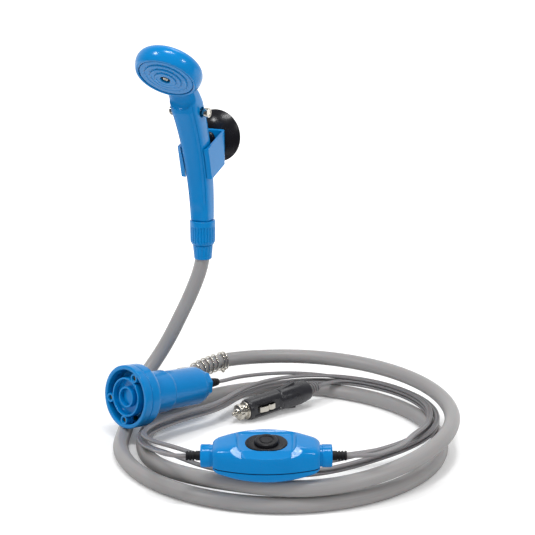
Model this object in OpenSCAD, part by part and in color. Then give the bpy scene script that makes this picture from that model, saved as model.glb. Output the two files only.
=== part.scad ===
// Camp shower pump set: hand shower with a flow pin and a wall holder, hose in a
// loose coil, submersible pump, flat twin cable with an in-line switch, 12 V plug.
// Millimetres, +Z up. The floor is z = 0, the origin lies under the middle of the
// hose coil, and the hand shower faces -Y.

/* [Hose] */
// outside diameter of the hose
hose_d = 14; // [10:0.5:16]
// wall of the hose where it is pushed over the pump's outlet
hose_wall = 2.2; // [1.5:0.1:2.6]
// radius at which the coil starts behind the pump
coil_r = 146; // [140:1:152]
// free height between two hose passes that lie on each other
pass_gap = 0.55; // [0.4:0.05:1.5]

/* [Cable] */
// width of the flat twin cable
cable_w = 5.4; // [4.6:0.1:5.8]
// thickness of the flat twin cable
cable_t = 2.7; // [2.2:0.1:3]
// mean radius of the cable loops
cable_r = 116.5; // [114:0.5:118]
// sideways pitch of the cable passes
cable_pitch = 6.4; // [6.2:0.1:7]
// height pitch of the cable passes
cable_step = 3.4; // [3.3:0.1:3.6]

/* [Hand shower] */
// height of the hand shower's sleeve above the floor
hand_h = 152; // [144:1:160]
// diameter of the spray head
head_d = 62.5; // [61:0.5:66]
// depth of the spray head behind its widest ring
head_depth = 8.5; // [8:0.5:12]
// diameter of the spray plate
plate_d = 51; // [49:0.5:52]
// thickness of the spray plate
plate_t = 3; // [2.5:0.1:4]
// angle of the spray plate below the level
face_drop = 48.5; // [44:0.5:54]
// width of the handle above the nut
grip_w0 = 20.4; // [19:0.2:23]
// width of the handle at the neck
grip_w1 = 28; // [24:0.2:30]
// length of the curved grip up to the neck
grip_len = 118; // [112:1:126]
// bend radius of the grip
grip_bend = 250; // [230:5:300]
// radius of the water way in the handle
water_r = 4.5; // [3.5:0.1:5.5]
// diameter of the flow pin's shaft
pin_d = 6; // [5:0.1:7]
// diameter of the flow pin's ends
pin_end_d = 9.2; // [8.4:0.1:10.4]
// how far the flow pin slides across
pin_travel = 6; // [4:0.5:7]
// diameter of the hose nut
nut_d = 24.5; // [24:0.1:28]
// length of the hose nut
nut_len = 23.6; // [22:0.2:28]
// length of the sleeve below the nut
sleeve_len = 14; // [12:0.5:20]

/* [Holder] */
// wall of the bracket
holder_wall = 2.2; // [1.8:0.1:3]
// free space between the handle and the bracket
holder_gap = 0.8; // [0.7:0.05:1.2]
// height of the bracket's back plate
holder_h = 32; // [28:0.5:36]
// diameter of the suction cup
cup_d = 51; // [44:0.5:58]
// depth of the suction cup
cup_depth = 10.5; // [9:0.5:14]
// wall of the suction cup
cup_wall = 2.4; // [2:0.1:3]
// radius of the suction cup's stem
stem_r = 4.2; // [3.4:0.1:5]

/* [Pump] */
// diameter of the pump's front
flange_d = 59; // [57:0.5:64]
// length of the front cover
cover_len = 8; // [7:0.2:10]
// length of the pump chamber behind the cover
bell_len = 12.5; // [11.5:0.5:16]
// diameter of the motor housing's neck
neck_d = 40; // [38.6:0.2:40.4]
// length of the neck
neck_len = 27.5; // [24:0.5:32]
// diameter of the motor housing
body_d = 36.8; // [36:0.1:37.2]
// length of the motor housing behind the neck
body_len = 41; // [38:0.5:48]
// distance across the flats of the rear cap
cap_af = 25; // [22:0.5:27]
// length of the rear cap
cap_len = 12; // [10:0.5:14]
// wall of the motor housing
shell_wall = 2; // [1.6:0.1:2.4]
// radius of the outlet tube
outlet_r = 4.2; // [3.8:0.1:4.4]
// radius of the motor shaft
shaft_r = 1.5; // [1.2:0.05:2]
// diameter of the cable gland
gland_d = 9; // [8:0.2:11]
// wire of the kink spring and of the hose clip
wire_d = 1.5; // [1.2:0.1:1.8]

/* [Switch] */
// length of the switch case
case_len = 88; // [84:1:96]
// depth of the switch case at its middle
case_w = 42; // [40:0.5:44]
// height of the switch case at its middle
case_h = 35; // [34:0.5:36]
// wall of the switch case
case_wall = 2.4; // [2:0.1:3]
// diameter of the round collars at the case's ends
collar_d = 19; // [16:0.5:20]
// length of the collars
collar_len = 10; // [8:0.5:13]
// diameter of the cable reliefs
relief_d = 8; // [7:0.1:9]
// length of the cable reliefs outside the collars
relief_len = 12; // [9:0.5:16]
// diameter of the push button
button_d = 19; // [17:0.5:20]
// travel of the push button
button_travel = 2; // [1.5:0.1:2.5]
// length of the oval plate round the button
oval_len = 35; // [32:0.5:38]
// depth of the oval plate
oval_w = 24; // [23:0.5:25]

/* [Plug] */
// diameter of the plug's barrel
barrel_d = 21; // [20:0.1:21.4]
// length of the barrel
barrel_len = 44; // [40:0.5:48]
// diameter of the nose ring
nose_d = 15; // [13:0.2:17]
// length of the nose ring
nose_len = 12; // [10:0.5:14]
// diameter of the centre contact
tip_d = 4.4; // [3.8:0.1:5]
// travel of the centre contact
tip_travel = 3; // [2:0.1:3.5]
// diameter of the rear grip
rear_d = 23; // [22:0.2:25]
// length of the rear grip
rear_len = 30; // [26:0.5:34]
// length of the plug's bend relief
tail_len = 13; // [11:0.5:16]
// width of the side contacts
contact_w = 4.6; // [3.8:0.1:5.2]
// travel of the side contacts
contact_travel = 1.5; // [1:0.1:1.8]

/* [Hidden] */
$fn = 48;
fit = 0.3;
run = 0.05;
over = 1;

blue = [0.02, 0.48, 0.78];
black = [0.09, 0.09, 0.1];
grey = [0.5, 0.5, 0.5];
nickel = [0.8, 0.8, 0.78];
brassy = [0.75, 0.58, 0.3];
iron = [0.35, 0.35, 0.37];

// vector helpers and the smooth step from 0 at a to 1 at b
function rx(a, v) = [v.x, v.y * cos(a) - v.z * sin(a), v.y * sin(a) + v.z * cos(a)];
function ry(a, v) = [v.x * cos(a) + v.z * sin(a), v.y, v.z * cos(a) - v.x * sin(a)];
function rz(a, v) = [v.x * cos(a) - v.y * sin(a), v.x * sin(a) + v.y * cos(a), v.z];
function unit(v) = v / norm(v);
function ease(a, b, x) = let (t = min(1, max(0, (x - a) / (b - a)))) t * t * (3 - 2 * t);
function sum(v, i = 0) = i < len(v) ? v[i] + sum(v, i + 1) : 0;

// a closed skin over rings of points, wound so that its faces look outward
function skin_faces(n, m) = concat(
    [for (i = [0 : n - 2], j = [0 : m - 1]) [i * m + j, i * m + (j + 1) % m, (i + 1) * m + (j + 1) % m]],
    [for (i = [0 : n - 2], j = [0 : m - 1]) [i * m + j, (i + 1) * m + (j + 1) % m, (i + 1) * m + j]],
    [for (j = [1 : m - 2]) [0, j + 1, j]],
    [for (j = [1 : m - 2]) [(n - 1) * m, (n - 1) * m + j, (n - 1) * m + j + 1]]);
module skin(rings) {
    polyhedron([for (r = rings) for (p = r) p], skin_faces(len(rings), len(rings[0])), 8);
}

// a section swept along a path, with the tangents of both ends given
function tangents(p, t0, t1) = [for (i = [0 : len(p) - 1])
    i == 0 ? t0 : i == len(p) - 1 ? t1 : unit(unit(p[i + 1] - p[i]) + unit(p[i] - p[i - 1]))];
function sweep(p, t, shape, ref) = [for (i = [0 : len(p) - 1])
    let (s = unit(cross(t[i], ref)), u = cross(s, t[i])) [for (q = shape) p[i] + q.x * s + q.y * u]];
module tube(p, t0, t1, shape, ref = [0, 0, 1]) {
    skin(sweep(p, tangents(p, t0, t1), shape, ref));
}
function polygon_ring(r, n) = [for (k = [0 : n - 1]) r * [cos((k + 0.5) * 360 / n), sin((k + 0.5) * 360 / n)]];
function squircle(a, w, d, n) = [
    w * sign(cos(a)) * pow(abs(cos(a)), 2 / n),
    d * sign(sin(a)) * pow(abs(sin(a)), 2 / n)];

// hose: eight sides, one of them lying flat on the floor
hose_cr = hose_d / 2 * 1.03;
hose_ap = hose_cr * cos(180 / 8);
hose_ring = polygon_ring(hose_cr, 8);
pass_h = 2 * hose_ap + 2 * pass_gap;
// cable: six sides, flat
cable_ring = [[cable_w / 2, 0], [cable_w / 4, cable_t / 2], [-cable_w / 4, cable_t / 2],
    [-cable_w / 2, 0], [-cable_w / 4, -cable_t / 2], [cable_w / 4, -cable_t / 2]];

// where the pieces lie
hand_pos = [-112, 63.5, hand_h];
pump_pos = [-134.6, -51, 44];
pump_heading = 71;
pump_dip = 7.4;
case_pos = [45, -128, 47];
case_heading = 25;
case_tilt = 10;
plug_pos = [-65, 30.5, 9.8];
plug_heading = 60.5;
plug_rise = 3.9;

// hand shower, from the bottom of the sleeve upward
lip_t = 5.3;
tail_r = hose_d / 2 - 0.2;
tail_low = 10;
nut_z = sleeve_len + fit + 0.1;
flange_z = nut_z + lip_t + fit;
flange_t = 3;
flange_r = tail_r + 2.2;
pilot_r = tail_r - 2.2;
pilot_len = 7;
washer_t = 2;
spigot_z = flange_z + flange_t + washer_t;
spigot_r = flange_r;
nut_hole_r = tail_r + fit;
nut_in_r = spigot_r + fit;
nut_top = nut_z + nut_len;
grip_z = nut_top + fit;
knurls = 24;
lean_top = grip_len / grip_bend * 180 / PI;
neck_bend = 60;
neck_turn = 21;
neck_lean = lean_top + neck_turn;
neck_run = 14;
grip_n = 2.6;
grip_steps = 9;
neck_steps = 3;
// the point, lean, half width and half depth at the distance u along the grip's axis
function grip_pt(l) = [0, -grip_bend * (1 - cos(l)), grip_z + grip_bend * sin(l)];
function neck_pt(l) = grip_pt(lean_top)
    + neck_bend * [0, cos(l) - cos(lean_top), sin(l) - sin(lean_top)];
neck_end = neck_pt(neck_lean) + neck_run * [0, -sin(neck_lean), cos(neck_lean)];
neck_thin = 0.66;
grip_axis = concat(
    [for (k = [0 : grip_steps]) let (l = lean_top * k / grip_steps) [grip_pt(l), l, k / grip_steps, 1]],
    [for (k = [1 : neck_steps]) let (l = lean_top + neck_turn * k / neck_steps)
        [neck_pt(l), l, 1, 1 - (1 - neck_thin) * k / neck_steps]],
    [[neck_end, neck_lean, 1, neck_thin]]);
function grip_ring(s, grow) = [for (k = [0 : 15])
    let (q = squircle(-(k + 0.5) * 22.5,
        (grip_w0 + (grip_w1 - grip_w0) * s[2]) / 2 + grow,
        (grip_w0 + (grip_w1 - grip_w0) * 0.72 * s[2]) / 2 * s[3] + grow, grip_n))
    s[0] + [q.x, q.y * cos(s[1]), q.y * sin(s[1])]];
function way_ring(s, r) = [for (k = [0 : 9])
    s[0] + [r * cos(-k * 36), r * sin(-k * 36) * cos(s[1]), r * sin(-k * 36) * sin(s[1])]];
// spray head, with its axis along the water
head_pos = neck_end + [0, -15.8, 2.9];
rim_r = 8;
rim_z = -9;
rim_front = 12;
rim_end = 52;
seat_gap = 0.3;
gasket_t = 1.2;
gasket_w = 3;
chamber_r = plate_d / 2 - gasket_w - 1;
chamber_z = -15;
post_r = 4.2;
screw_r = 1.5;
screw_head_r = 3.2;
screw_head_h = 1.6;
spray_rings = [[7.4, 12], [12.2, 18], [17.4, 24]];
spray_r = 0.6;
step_h = 0.5;
// flow pin across the neck
pin_lean = lean_top - 1.5;
pin_pos = grip_pt(pin_lean);
pin_half = (grip_w0 + (grip_w1 - grip_w0) * pin_lean / lean_top) / 2;
bore_r = pin_d / 2 + 1;
pin_end_t = 4;
pin_cap_t = 4.4;
pin_out = 3.2;
pin_left = -pin_half - fit;
pin_right = pin_half + pin_out;
pocket_r = pin_end_d / 2 + 0.5;
pocket_x = pin_right - pin_travel - fit;
land_w = 2.4;
land_x = 6;

// holder, in the hand shower's frame
plate_y = 18.5;
holder_z = 115;
holder_z0 = holder_z - holder_h * 0.73;
holder_z1 = holder_z0 + holder_h;
lip_z0 = 81;
lip_z1 = 111;
lip_out = 7;
holder_x = grip_w1 / 2 + 0.1;
function grip_lean(z) = asin((z - grip_z) / grip_bend);
function grip_y(z) = -grip_bend * (1 - cos(grip_lean(z)));
slide_lean = grip_lean((lip_z0 + lip_z1) / 2);
saddle_y = 9;
saddle_z = 98;
knob_r = stem_r + 2;
knob_t = 3.4;
collar_r = stem_r + 3.8;
cup_y = plate_y + fit + 0.1;

// pump, from the middle of its front face along its axis to the rear
face_wall = 4;
ring1_r = 18.3;
ring1_w = 1.8;
ring2_r = 9.8;
ring2_w = 1.8;
dish_z = cover_len - 2;
slot_r0 = ring1_r + 0.7;
slot_r1 = flange_d / 2 - face_wall;
screw_angles = [205, 0, 75];
boss_pr = 22;
boss_r = 4.3;
brass_r = 1.7;
brass_head_r = 2.3;
brass_z = 4;
bell_z = cover_len + bell_len;
bell_wall = 4.5;
bell_r = flange_d / 2 - 0.2;
bell_in_r = flange_d / 2 - 3.4;
neck_z = bell_z + neck_len;
body_z = neck_z + body_len;
cap_z = body_z + cap_len;
shell_in_r = body_d / 2 - shell_wall;
front_wall = 6;
outlet_off = neck_d / 2 + outlet_r + fit;
outlet_at = 100;
outlet_z0 = bell_z - bell_wall;
outlet_end = body_z + 15;
outlet_bore = outlet_r - 1.2;
outlet_collar_r = min(outlet_r + 1.6, outlet_off - neck_d / 2 - fit / 3);
cuff_z0 = body_z + 1;
cuff_z1 = outlet_end + 4;
can_t = 1;
can_r = shell_in_r - 0.1;
can_z0 = bell_z + front_wall + 0.5;
holder_t = 4;
plate_z = body_z - 13;
bearing_r = shaft_r + 2.6;
seal_r = shaft_r + 2.8;
magnet_r = can_r - can_t - 0.05;
magnet_t = 2.4;
arm_r = magnet_r - magnet_t - 0.6;
arm_z0 = can_z0 + 6;
arm_len = 26;
comm_r = 4.2;
comm_len = 9;
comm_z = plate_z - 1 - comm_len;
impeller_r = 14;
impeller_z = cover_len + 1;
impeller_h = outlet_z0 - 1 - impeller_z;
gland_z = cap_z - 4;
gland_len = 22;
cap_ring_r = shell_in_r - 0.1;
cap_ring_len = 6;

// switch, in its own frame: x along the cable, z through the button
case_flat = case_h / 2 - 7;
seam_z = -case_h * 0.14;
post_top = case_flat + 3;
oval_t = 2.5;
button_r = button_d / 2;
button_top = case_flat + oval_t + 4;
flange_gap = 0.3;
button_lip = min(button_r + 1, oval_w / 2 - 0.8);
button_lip_t = 2.4;
lip_top = case_flat - flange_gap;
lip_low = lip_top - button_lip_t;
module_w = [24, 15, 11];
module_top = lip_low - button_travel - 4.6;
spring_len = 4;
foot_w = 8;
dish_r = oval_len / 2 + 1;
dish_h = 8;
dish_slope = 1.6;
relief_in = 10;
case_n = 3.6;
case_steps = 12;
function case_half(x, a) = let (e = 0.66) a * (e + (1 - e) * (1 - pow(2 * x / case_len, 2)));
function case_ring(x, grow) = [for (k = [0 : 19])
    let (q = squircle(-(k + 0.5) * 18, case_half(x, case_w / 2) + grow, case_half(x, case_h / 2) + grow, case_n))
    [x, q.x, q.y]];
case_screw_x = 28;
case_screw_r = 1.6;
case_screw_head = 2.9;

// plug, from the tip of the centre contact to the rear
tip_out = 5;
nose_z = tip_out - 1;
barrel_z = nose_z + nose_len;
rear_z = barrel_z + barrel_len;
tail_z = rear_z + rear_len;
plug_end = tail_z + tail_len;
nose_in_r = tip_d / 2 + 1.2;
tube_r = 3.9;
fuse_r = 3.2;
fuse_len = 26;
tip_collar_r = tube_r - 0.3;
tip_collar_t = 2;
tip_len = nose_len + 2;
fuse_z = barrel_z + 10;
fin_t = 5;
fin_r = rear_d / 2 + 2;
fin_len = 14.4;
slot_z0 = barrel_z + 9;
slot_len = 20;
contact_out = 1.3;
contact_in = 6.6;
tail_r0 = 5.4;
tail_ribs = 4;

// one frame for each assembly, as functions and as modules
function pump_dir(v) = rz(pump_heading, ry(90 + pump_dip, v));
function pump_pt(v) = pump_pos + pump_dir(v);
function case_dir(v) = rz(case_heading, rx(case_tilt, v));
function case_pt(v) = case_pos + case_dir(v);
function plug_dir(v) = rz(plug_heading, ry(90 - plug_rise, v));
function plug_pt(v) = plug_pos + plug_dir(v);
function head_dir(v) = rx(90 + face_drop, v);
module at_hand() { translate(hand_pos) children(); }
module at_head() { at_hand() translate(head_pos) rotate([90 + face_drop, 0, 0]) children(); }
module at_pin() { at_hand() translate(pin_pos) rotate([0, 90, 0]) children(); }
module at_cup() { at_hand() translate([0, 0, holder_z]) rotate([-90, 0, 0]) children(); }
module at_pump() {
    translate(pump_pos) rotate([0, 0, pump_heading]) rotate([0, 90 + pump_dip, 0]) children();
}
module at_case() {
    translate(case_pos) rotate([0, 0, case_heading]) rotate([case_tilt, 0, 0]) children();
}
module at_plug() {
    translate(plug_pos) rotate([0, 0, plug_heading]) rotate([0, 90 - plug_rise, 0]) children();
}
module pipe(r, r_in, z0, z1) {
    difference() {
        translate([0, 0, z0]) cylinder(r = r, h = z1 - z0);
        translate([0, 0, z0 - over]) cylinder(r = r_in, h = z1 - z0 + 2 * over);
    }
}
module disc(r, z0, z1) {
    translate([0, 0, z0]) cylinder(r = r, h = z1 - z0);
}

// hose coil: a clockwise spiral, in on the upper pass, down inside and out on the floor
coil_from = 133;
coil_sweep = 655;
coil_rings = 44;
coil_dr = [[0, 95, 10], [108, 190, -10], [175, 255, -25], [303, 388, 20], [393, 463, 5],
    [473, 553, -3], [573, 648, 4]];
coil_drop = [[15, 108, 4], [113, 198, 12.8], [205, 275, pass_h]];
function coil_pt(f) =
    let (r = coil_r + sum([for (d = coil_dr) d[2] * ease(d[0], d[1], f)]),
        z = hose_ap + sum([for (d = coil_drop) d[2] * (1 - ease(d[0], d[1], f))]))
    [r * cos(coil_from - f), r * sin(coil_from - f), z];
function coil_tan(f) = unit(coil_pt(f + 0.5) - coil_pt(f - 0.5));
coil_path = [for (k = [0 : coil_rings]) coil_pt(coil_sweep * k / coil_rings)];
coil_t0 = coil_tan(0);
coil_t1 = coil_tan(coil_sweep);

// hose from the pump to the coil: one bend, tangent to both
lead_p0 = pump_pt(outlet_off * [cos(outlet_at), sin(outlet_at), 0] + [0, 0, cuff_z1]);
lead_t0 = pump_dir([0, 0, 1]);
lead_p2 = coil_pt(0);
lead_k = 24;
lead_p1 = lead_p2 - lead_k * coil_t0;
function lead_pt(t) = (1 - t) * (1 - t) * lead_p0 + 2 * t * (1 - t) * lead_p1 + t * t * lead_p2;
function lead_tan(t) = unit((1 - t) * (lead_p1 - lead_p0) + t * (lead_p2 - lead_p1));
lead_rings = 7;
lead_path = [for (k = [0 : lead_rings]) lead_pt(k / lead_rings)];

// kink spring round that bend
spring_turns = 5;
spring_sweep = 360 * spring_turns;
spring_r = hose_cr + wire_d / 2 + fit + 0.15;
spring_t0 = 0.05;
spring_t1 = 0.62;
clip_t = 0.72;
function spring_pt(a) =
    let (t = spring_t0 + (spring_t1 - spring_t0) * a / spring_sweep, d = lead_tan(t),
        s = unit(cross(d, [0, 0, 1])), u = cross(s, d))
    lead_pt(t) + spring_r * (cos(a) * s + sin(a) * u);
spring_n = 12;
spring_path = [for (k = [0 : spring_n * spring_turns]) spring_pt(k * 360 / spring_n)];
spring_ring = polygon_ring(wire_d / 2, 6);

// hose from the coil up to the hand shower
hand_end = hand_pos + [0, 0, tail_low];
riser_points = [[-146.5, -30, hose_ap], [-155, -12, 8], [-161, 4.5, 13.5], [-163.1, 21.4, 25], [-160.9, 34.2, 36],
    [-155.5, 44.4, 48.5], [-148.9, 50.9, 62], [-141.7, 55.5, 77.5], [-134.9, 58.9, 93], [-127.7, 61.3, 108.5],
    [-120.5, 62.7, 124.5], [-115.5, 63.3, 135], [-113, 63.5, 144.5]];
riser_up = (hand_h - hose_ap) / 145.339;
riser_path = concat([coil_pt(coil_sweep)],
    [for (p = riser_points) [p.x, p.y, hose_ap + (p.z - hose_ap) * riser_up]], [hand_pos, hand_end]);

// cable loops: one radius for each direction, with the pinched bend on the left
cable_terms = [[9.7, 16.6], [-10.9, 17.1], [1.3, -5.2], [-3.3, 2.9]];
bend_at = 215;
bend_out = 8;
bend_wide = 13;
// the loops ride up where the hose comes down beside them
lift_at = 241;
lift_h = 4;
lift_wide = 15;
function turn_diff(a) = (a % 360 + 540) % 360 - 180;
function loop_r(a) = cable_r
    + sum([for (k = [0 : 3]) cable_terms[k][0] * cos((k + 1) * a) + cable_terms[k][1] * sin((k + 1) * a)])
    + bend_out * exp(-pow(turn_diff(a - bend_at) / bend_wide, 2));
function loop_slope(a) = (loop_r(a + 0.5) - loop_r(a - 0.5)) / loop_r(a) * 180 / PI;
function loop_lift(a) = lift_h * exp(-pow(turn_diff(a - lift_at) / lift_wide, 2));
function loop_pt(a, off, z) = let (r = loop_r(a) + off * norm([1, loop_slope(a)])) [r * cos(a), r * sin(a), z];
cable_z = 2 * hose_ap + cable_t / 2 + 0.75;
col = cable_pitch / 2;
// first cable: from the pump clockwise, folded back under the switch, then anticlockwise
fold_at = -45;
fold_r = 16;
fold_down = [60, 170];
first_from = 90;
second_to = 570;
swap_from = 220;
swap_to = 280;
fold_hub = loop_r(fold_at) + col - fold_r;
function fold_pt(b) =
    let (r = fold_hub + fold_r * cos(b), a = fold_at - fold_r * sin(b) / fold_hub * 180 / PI)
    [r * cos(a), r * sin(a), cable_z + cable_step * (1 - ease(fold_down[0], fold_down[1], b))];
function back_off(a) = -col - (2 * fold_r - cable_pitch) * (1 - ease(fold_at, 25, a))
    + cable_pitch * ease(swap_from, swap_to, a);
function first_pt(a) = loop_pt(a, col, cable_z + cable_step);
function second_pt(a) = loop_pt(a, back_off(a), cable_z + loop_lift(a));
first_n = 14;
second_n = 60;
coil_a_path = concat(
    [for (k = [0 : first_n - 1]) first_pt(first_from + (fold_at - first_from) * k / first_n)],
    [for (k = [0 : 6]) fold_pt(30 * k)],
    [for (k = [1 : second_n]) second_pt(fold_at + (second_to - fold_at) * k / second_n)]);
coil_a_t0 = unit(first_pt(first_from - 0.5) - first_pt(first_from + 0.5));
coil_a_t1 = unit(second_pt(second_to + 0.5) - second_pt(second_to - 0.5));
// second cable: from the switch anticlockwise to the plug
plug_from = 28;
plug_to = 445;
plug_n = 42;
plug_layer = 2;
layer_from = 322;
layer_to = 382;
function third_pt(a) = loop_pt(a, -col,
    cable_z + cable_step * (plug_layer - ease(layer_from, layer_to, a)) + loop_lift(a));
coil_b_path = [for (k = [0 : plug_n]) third_pt(plug_from + (plug_to - plug_from) * k / plug_n)];
coil_b_t0 = unit(third_pt(plug_from + 0.5) - third_pt(plug_from - 0.5));
coil_b_t1 = unit(third_pt(plug_to + 0.5) - third_pt(plug_to - 0.5));

// free stretches of the cable between the loops and what they run into
gland_end = gland_z + gland_len;
case_end = case_len / 2 + collar_len + relief_len;
pump_lead_path = concat([pump_pt([0, 0, gland_end]), pump_pt([0, 0, gland_end + 7])],
    [[-88.5, 82, 26.8], [-80, 98, 25.5], [-66.5, 115.5, 24], [-47, 131, 22.6], [-23.5, 142.5, 20.8]],
    [coil_a_path[0]]);
case_in_path = concat([coil_a_path[len(coil_a_path) - 1]],
    [[-101.5, -80.5, 16.5], [-88, -96, 20.5], [-75, -111, 26.5], [-63, -126, 33], [-53, -140, 39.5],
        [-45, -150.5, 44], [-37, -157, 46.2], [-29.5, -159.8, 47]],
    [case_pt([-case_end - 7, 0, 0]), case_pt([-case_end, 0, 0])]);
case_out_path = concat([case_pt([case_end, 0, 0]), case_pt([case_end + 7, 0, 0])],
    [[118.5, -90, 45.8], [123.5, -75, 42.5], [125.8, -55, 38.5], [126.5, -33, 34], [125, -8, 29.5],
        [123, 20, 26], [123, 44, 23.6]],
    [coil_b_path[0]]);
plug_lead_path = concat([coil_b_path[len(coil_b_path) - 1]],
    [[3, 141, 18.8], [-4.5, 133.5, 18.6]],
    [plug_pt([0, 0, plug_end + 7]), plug_pt([0, 0, plug_end])]);

// least free gaps, measured on points
function flat_gap(p, q) = max(norm([p.x - q.x, p.y - q.y]) - cable_w, abs(p.z - q.z) - cable_t);
function self_gap(p, skip) = min([for (i = [0 : len(p) - 1 - skip], j = [i + skip : len(p) - 1])
    flat_gap(p[i], p[j])]);
hose_gap = min([for (i = [0 : coil_rings - 12], j = [i + 12 : coil_rings])
    norm(coil_path[i] - coil_path[j]) - 2 * hose_cr]);
spring_gap = min([for (i = [0 : spring_n * (spring_turns - 1)])
    norm(spring_path[i] - spring_path[i + spring_n]) - wire_d]);
echo(hose_self_gap = hose_gap, cable_a_self_gap = self_gap(coil_a_path, 14),
    cable_b_self_gap = self_gap(coil_b_path, 14), spring_self_gap = spring_gap);

function run_len(p, i = 0) = i < len(p) - 1 ? norm(p[i + 1] - p[i]) + run_len(p, i + 1) : 0;
echo(hose_length = run_len(lead_path) + run_len(coil_path) + run_len(riser_path) + cuff_z1 - cuff_z0,
    cable_a_length = run_len(pump_lead_path) + run_len(coil_a_path) + run_len(case_in_path),
    cable_b_length = run_len(case_out_path) + run_len(coil_b_path) + run_len(plug_lead_path));
echo(pin_at = hand_pos + pin_pos, nut_at = hand_pos + [0, 0, nut_z], cup_at = hand_pos + [0, cup_y, holder_z],
    slide_axis = [0, -sin(slide_lean), cos(slide_lean)], slide_at = hand_pos + [0, grip_y(96), 96]);
echo(pump_at = pump_pos, pump_axis = pump_dir([0, 0, 1]), button_at = case_pt([0, 0, button_top]),
    button_axis = case_dir([0, 0, 1]), plug_at = plug_pos, plug_axis = plug_dir([0, 0, 1]),
    contact_axis = plug_dir([0, 1, 0]), contact_at = plug_pt([0, 0, slot_z0 + slot_len / 2]));
echo(wall_at = hand_pos + [0, cup_y + 2 + cup_depth, holder_z], head_at = hand_pos + head_pos,
    head_axis = head_dir([0, 0, 1]), barrel_at = plug_pt([0, 0, barrel_z]));

// hand shower
module grip_solid(grow) {
    skin([for (s = grip_axis) grip_ring(s, grow)]);
}
module head_solid() {
    front = [for (k = [0 : 8]) let (t = rim_end * (1 - k / 8))
        [head_d / 2 - rim_r + rim_r * cos(t), rim_z + rim_front * sin(t)]];
    back = [for (k = [1 : 8]) let (t = -90 * k / 8)
        [head_d / 2 - rim_r + rim_r * cos(t), rim_z + head_depth * sin(t)]];
    top = rim_z + rim_front * sin(rim_end);
    rotate_extrude() polygon(concat([[0, top]], front, back, [[0, rim_z - head_depth - 2]]));
}
module handset_body() {
    color(blue) difference() {
        union() {
            at_hand() grip_solid(0);
            at_hand() disc(spigot_r, spigot_z, grip_z + 3);
            at_head() head_solid();
        }
        at_hand() skin([for (s = grip_axis) way_ring(s, water_r)]);
        at_hand() disc(pilot_r + 0.2, spigot_z - over, grip_z + 2);
        at_head() difference() {
            union() {
                disc(plate_d / 2 + seat_gap, -plate_t, 8);
                disc(chamber_r, chamber_z, 0);
                pipe(plate_d / 2 - 0.5, plate_d / 2 - 0.5 - gasket_w, -plate_t - gasket_t, 0);
            }
            disc(post_r, chamber_z - over, -plate_t);
        }
        at_head() disc(screw_r + 0.1, chamber_z + 1, 0);
        at_pin() disc(bore_r, -grip_w1, grip_w1);
        at_pin() disc(pocket_r, pocket_x, grip_w1);
    }
}
module spray_plate() {
    color(blue) at_head() difference() {
        union() {
            disc(plate_d / 2, -plate_t, 0);
            for (k = [0 : 2]) disc(spray_rings[2 - k][0] + 2.2, -1, step_h * (k + 1));
        }
        disc(screw_head_r + 1.6, 0, 4);
        disc(screw_r + 0.1, -plate_t - over, 4);
        for (g = spray_rings) for (k = [0 : g[1] - 1]) rotate([0, 0, 360 * k / g[1]])
            translate([g[0], 0, -plate_t - over]) cylinder(r = spray_r, h = plate_t + 4);
    }
}
module plate_gasket() {
    color(black) at_head() pipe(plate_d / 2 - 0.6, plate_d / 2 - 0.4 - gasket_w, -plate_t - gasket_t, -plate_t);
}
module plate_screw() {
    color(nickel) at_head() difference() {
        union() {
            disc(screw_head_r, 0, screw_head_h);
            disc(screw_r, chamber_z + 3, 0.5);
        }
        translate([-screw_head_r, -0.4, screw_head_h - 0.6]) cube([2 * screw_head_r, 0.8, over]);
    }
}
module flow_pin() {
    color(nickel) at_pin() {
        disc(pin_d / 2, pin_left, pin_right);
        disc(bore_r - run, -land_x - land_w, -land_x);
        disc(bore_r - run, land_x - land_w, land_x - land_w + land_w);
        disc(pin_end_d / 2, pin_right, pin_right + pin_end_t);
    }
}
module flow_pin_cap() {
    color(nickel) at_pin() {
        disc(pin_end_d / 2, pin_left - 1.2, pin_left);
        disc(pin_end_d / 2 - 1, pin_left - pin_cap_t + 1, pin_left - 1.2);
        disc(pin_end_d / 2, pin_left - pin_cap_t, pin_left - pin_cap_t + 1.4);
    }
}
module pin_seals() {
    color(black) at_pin() for (x = [-land_x + 0.01, land_x - land_w - 1.41])
        pipe(bore_r - run, pin_d / 2, x, x + 1.4);
}
module hose_tail() {
    color(black) at_hand() difference() {
        union() {
            disc(tail_r, tail_low, flange_z);
            disc(flange_r, flange_z, flange_z + flange_t);
            disc(pilot_r, flange_z + flange_t - 0.5, flange_z + flange_t + pilot_len);
        }
        disc(pilot_r - 1.5, tail_low - over, flange_z + flange_t + pilot_len + over);
    }
}
module tail_washer() {
    color(black) at_hand() pipe(flange_r - 0.4, pilot_r + 0.1, flange_z + flange_t, spigot_z);
}
module hose_nut() {
    color(blue) at_hand() difference() {
        union() {
            translate([0, 0, nut_z]) cylinder(r1 = nut_d / 2 - 1.8, r2 = nut_d / 2 - 0.6, h = 3);
            disc(nut_d / 2 - 0.6, nut_z + 2.5, nut_top);
            translate([0, 0, nut_z + 3.2]) linear_extrude(nut_len - 5) union() {
                circle(r = nut_d / 2 - 0.7);
                for (k = [0 : knurls - 1]) rotate(360 * k / knurls) translate([nut_d / 2 - 0.9, 0]) circle(r = 0.9);
            }
        }
        disc(nut_hole_r, nut_z - over, nut_top);
        disc(nut_in_r, nut_z + lip_t, nut_top + over);
    }
}
module hose_sleeve() {
    color(blue) at_hand() difference() {
        cylinder(r1 = hose_cr + 1.3, r2 = hose_cr + 2.5, h = sleeve_len);
        disc(hose_cr + fit, -over, tail_low);
        disc(tail_r, tail_low - over, sleeve_len + over);
    }
}

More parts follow.
